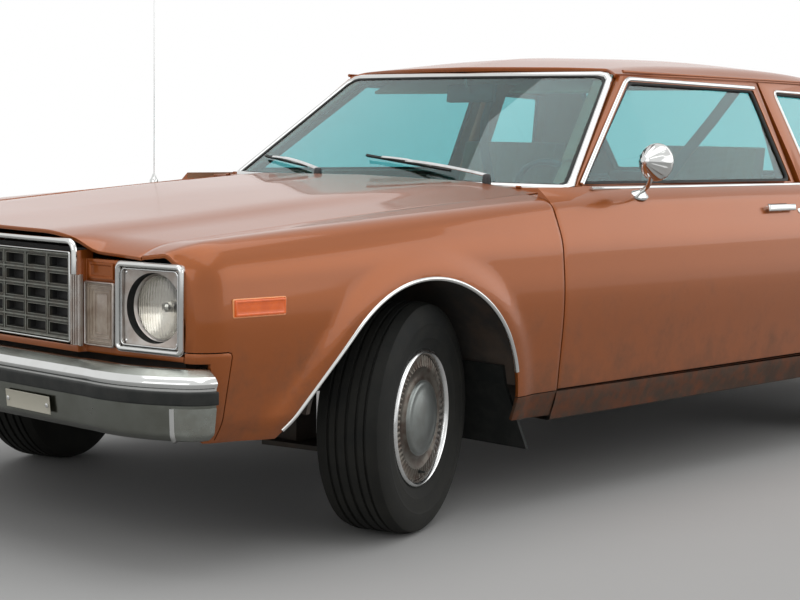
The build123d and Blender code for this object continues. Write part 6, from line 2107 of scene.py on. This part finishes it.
def build_floor(scene):
    bpy.ops.object.select_all(action="DESELECT")
    bpy.ops.mesh.primitive_plane_add(size=80, location=(0, 0, 0))
    floor = bpy.context.active_object
    floor.name = "studio_floor"
    made = bpy.data.materials.new("Studio Floor")
    made.use_nodes = True
    tree = made.node_tree
    shader = tree.nodes["Principled BSDF"]
    shader.inputs["Specular IOR Level"].default_value = 0.2
    coordinates = tree.nodes.new("ShaderNodeTexCoord")
    pale = tuple(scene.car_stage.floor)
    duller = tuple(c * 0.95 for c in pale)
    tone = place_group(tree, patches, Colour=tint(pale), Other=tint(duller), Scale=0.7, Amount=0.4)
    texture = place_group(tree, grain, Scale=160.0, Roughness=0.75, Spread=0.1)
    # Far from the car the floor melts into the white background
    reach = add_node(tree, "VectorMath", operation="LENGTH")
    far = add_node(tree, "MapRange", {"From Min": 8.0, "From Max": 20.0}, interpolation_type="SMOOTHSTEP")
    glow = add_node(tree, "Emission", {"Color": (1, 1, 1, 1), "Strength": 1.0})
    share = add_node(tree, "Math", operation="MULTIPLY")
    blend = add_node(tree, "MixShader")
    wire(
        tree, (coordinates, "Object", tone, "Vector"), (coordinates, "Object", texture, "Vector"),
        (coordinates, "Object", reach, 0), (tone, "Colour", shader, "Base Color"),
        (texture, "Roughness", shader, "Roughness"), (reach, "Value", far, "Value"),
        (far, "Result", share, 0),
        (seen_background(tree), "Value", share, 1), (share, "Value", blend, 0), (shader, "BSDF", blend, 1),
        (glow, "Emission", blend, 2), (blend, "Shader", tree.nodes["Material Output"], "Surface"),
    )
    floor.data.materials.append(made)


# Name, place, size, power and goal of each lamp, in metres and watts
LAMPS = (
    ("sky_wall", (8.5, 6.5, 4.6), (14.0, 6.6), 330.0, (0.6, 0.0, 1.0)),
    ("roof_light", (0.5, -1.0, 7.5), (8.0, 8.0), 230.0, (0.0, 0.0, 0.6)),
    ("nose_light", (3.0, -9.0, 4.5), (7.0, 5.0), 120.0, (0.0, -1.5, 0.6)),
)
# The camera's place in metres and its yaw, pitch and roll in radians
CAMERA_PLACE = (4.0517, -5.0563, 1.1029)
CAMERA_TURNS = (2.347, -0.119, 0.016)
CAMERA_SHIFT = 0.05


def build_stage(scene):
    build_floor(scene)
    world = bpy.data.worlds.new("Studio")
    scene.world = world
    world.use_nodes = True
    tree = world.node_tree
    background = tree.nodes["Background"]
    background.inputs["Color"].default_value = (1.0, 1.0, 1.0, 1.0)
    strength = add_node(tree, "Mix", {"A": 0.5, "B": 1.0}, data_type="FLOAT")
    seen = seen_background(tree)
    wire(tree, (seen, "Value", strength, "Factor"), (strength, "Result", background, "Strength"))
    for name, place, size, power, goal in LAMPS:
        lamp = bpy.data.lights.new(name, "AREA")
        lamp.shape = "RECTANGLE"
        lamp.energy = power
        lamp.size, lamp.size_y = size
        obj = bpy.data.objects.new(name, lamp)
        scene.collection.objects.link(obj)
        obj.location = place
        obj.rotation_euler = (Vector(goal) - Vector(place)).to_track_quat("-Z", "Y").to_euler()
    data = bpy.data.cameras.new("studio_camera")
    data.lens = scene.car_stage.lens
    data.sensor_width = 36.0
    data.shift_x = CAMERA_SHIFT
    data.shift_y = CAMERA_SHIFT
    data.clip_end = 200.0
    camera = bpy.data.objects.new("studio_camera", data)
    scene.collection.objects.link(camera)
    yaw, pitch, roll = CAMERA_TURNS
    ahead = Vector((math.cos(pitch) * math.cos(yaw), math.cos(pitch) * math.sin(yaw), math.sin(pitch)))
    right = Vector((math.sin(yaw), -math.cos(yaw), 0))
    up = right.cross(ahead)
    right, up = math.cos(roll) * right + math.sin(roll) * up, math.cos(roll) * up - math.sin(roll) * right
    matrix = Matrix((right, up, -ahead)).transposed().to_4x4()
    matrix.translation = Vector(CAMERA_PLACE)
    camera.matrix_world = matrix
    scene.camera = camera
    scene.view_settings.view_transform = "Standard"


# Operators and panel

class CAR_OT_fenders(bpy.types.Operator):
    """Build both front fenders with their arch flares"""
    bl_idname = "car.fenders"
    bl_label = "Front Fenders"

    def execute(self, context):
        build_fenders(context.scene)
        return {"FINISHED"}


class CAR_OT_lids(bpy.types.Operator):
    """Build the crowned panels: hood, trunk lid and roof"""
    bl_idname = "car.lids"
    bl_label = "Hood, Trunk Lid and Roof"

    def execute(self, context):
        build_hood(context.scene)
        build_trunk_lid(context.scene)
        build_roof(context.scene)
        return {"FINISHED"}


class CAR_OT_doors(bpy.types.Operator):
    """Build both doors with skins and frames"""
    bl_idname = "car.doors"
    bl_label = "Doors"

    def execute(self, context):
        build_doors(context.scene)
        return {"FINISHED"}


class CAR_OT_quarters(bpy.types.Operator):
    """Build both rear quarters with their sails"""
    bl_idname = "car.quarters"
    bl_label = "Rear Quarters"

    def execute(self, context):
        build_quarters(context.scene)
        return {"FINISHED"}


class CAR_OT_body_frame(bpy.types.Operator):
    """Build the dusty sills, the pillars, the nose, the cowl and the tail"""
    bl_idname = "car.body_frame"
    bl_label = "Sills, Pillars and Panels"

    def execute(self, context):
        build_sills(context.scene)
        build_body_frame(context.scene)
        return {"FINISHED"}


class CAR_OT_glass(bpy.types.Operator):
    """Build the curved glass with its trim and seals"""
    bl_idname = "car.glass"
    bl_label = "Glass"

    def execute(self, context):
        build_glass(context.scene)
        return {"FINISHED"}


class CAR_OT_bumpers(bpy.types.Operator):
    """Build both chrome bumpers with their rubber strips"""
    bl_idname = "car.bumpers"
    bl_label = "Bumpers"

    def execute(self, context):
        build_bumpers(context.scene)
        return {"FINISHED"}


class CAR_OT_grille(bpy.types.Operator):
    """Build the egg crate grille with its surround and ribs"""
    bl_idname = "car.grille"
    bl_label = "Grille"

    def execute(self, context):
        build_grille(context.scene)
        return {"FINISHED"}


class CAR_OT_lamps(bpy.types.Operator):
    """Build the headlamps, the turn lamps and the side markers"""
    bl_idname = "car.lamps"
    bl_label = "Front and Side Lamps"

    def execute(self, context):
        build_headlamps(context.scene)
        build_turn_lamps(context.scene)
        build_markers(context.scene)
        return {"FINISHED"}


class CAR_OT_mouldings(bpy.types.Operator):
    """Run the bright mouldings round arches, windows and roof"""
    bl_idname = "car.mouldings"
    bl_label = "Mouldings"

    def execute(self, context):
        build_mouldings(context.scene)
        return {"FINISHED"}


class CAR_OT_door_fittings(bpy.types.Operator):
    """Build the door handles, the locks and the round mirror"""
    bl_idname = "car.door_fittings"
    bl_label = "Handles and Mirror"

    def execute(self, context):
        build_handles(context.scene)
        build_mirror(context.scene)
        return {"FINISHED"}


class CAR_OT_rods(bpy.types.Operator):
    """Build the wipers and the antenna"""
    bl_idname = "car.rods"
    bl_label = "Wipers and Antenna"

    def execute(self, context):
        build_wipers(context.scene)
        build_antenna(context.scene)
        return {"FINISHED"}


class CAR_OT_wheels(bpy.types.Operator):
    """Build the tyres, wheel covers and rims"""
    bl_idname = "car.wheels"
    bl_label = "Wheels"

    def execute(self, context):
        build_wheels(context.scene)
        return {"FINISHED"}


class CAR_OT_tail(bpy.types.Operator):
    """Build the tail lamps and the blank plates"""
    bl_idname = "car.tail"
    bl_label = "Tail"

    def execute(self, context):
        build_tail(context.scene)
        return {"FINISHED"}


class CAR_OT_seats(bpy.types.Operator):
    """Build the padded seats"""
    bl_idname = "car.seats"
    bl_label = "Seats"

    def execute(self, context):
        build_seats(context.scene)
        return {"FINISHED"}


class CAR_OT_cabin(bpy.types.Operator):
    """Build the dashboard, steering wheel, lining and belts"""
    bl_idname = "car.cabin"
    bl_label = "Cabin"

    def execute(self, context):
        build_cabin(context.scene)
        return {"FINISHED"}


class CAR_OT_chassis(bpy.types.Operator):
    """Build the engine and give the chassis pieces their finishes"""
    bl_idname = "car.chassis"
    bl_label = "Engine and Underside"

    def execute(self, context):
        build_engine(context.scene)
        build_under(context.scene)
        return {"FINISHED"}


class CAR_OT_stage(bpy.types.Operator):
    """Build the floor, lights, world and camera"""
    bl_idname = "car.stage"
    bl_label = "Studio Stage"

    def execute(self, context):
        build_stage(context.scene)
        return {"FINISHED"}


OPERATORS = [
    CAR_OT_finishes, CAR_OT_fenders, CAR_OT_lids, CAR_OT_doors, CAR_OT_quarters, CAR_OT_body_frame,
    CAR_OT_glass, CAR_OT_bumpers, CAR_OT_grille, CAR_OT_lamps, CAR_OT_mouldings, CAR_OT_door_fittings,
    CAR_OT_rods, CAR_OT_wheels, CAR_OT_tail, CAR_OT_seats, CAR_OT_cabin, CAR_OT_chassis, CAR_OT_stage,
]


class CAR_PT_builder(bpy.types.Panel):
    """Lists the car's operators and settings"""
    bl_idname = "CAR_PT_builder"
    bl_label = "Compact Car"
    bl_space_type = "VIEW_3D"
    bl_region_type = "UI"
    bl_category = "Car"

    def draw(self, context):
        layout = self.layout
        for settings in ("car_paint", "car_trim", "car_wheels", "car_stage"):
            box = layout.box()
            group = getattr(context.scene, settings)
            for name in group.__annotations__:
                box.prop(group, name)
        for operator in OPERATORS:
            layout.operator(operator.bl_idname)


SETTINGS = {"car_paint": CarPaint, "car_trim": CarTrim, "car_wheels": CarWheels, "car_stage": CarStage}
CLASSES = [*SETTINGS.values(), *OPERATORS, CAR_PT_builder]


def register():
    for cls in CLASSES:
        bpy.utils.register_class(cls)
    for name, group in SETTINGS.items():
        setattr(bpy.types.Scene, name, bpy.props.PointerProperty(type=group))


def unregister():
    for name in SETTINGS:
        delattr(bpy.types.Scene, name)
    for cls in reversed(CLASSES):
        bpy.utils.unregister_class(cls)


def main():
    register()
    for operator in OPERATORS:
        getattr(bpy.ops.car, operator.bl_idname.split(".")[1])()


if __name__ == "__main__":
    main()
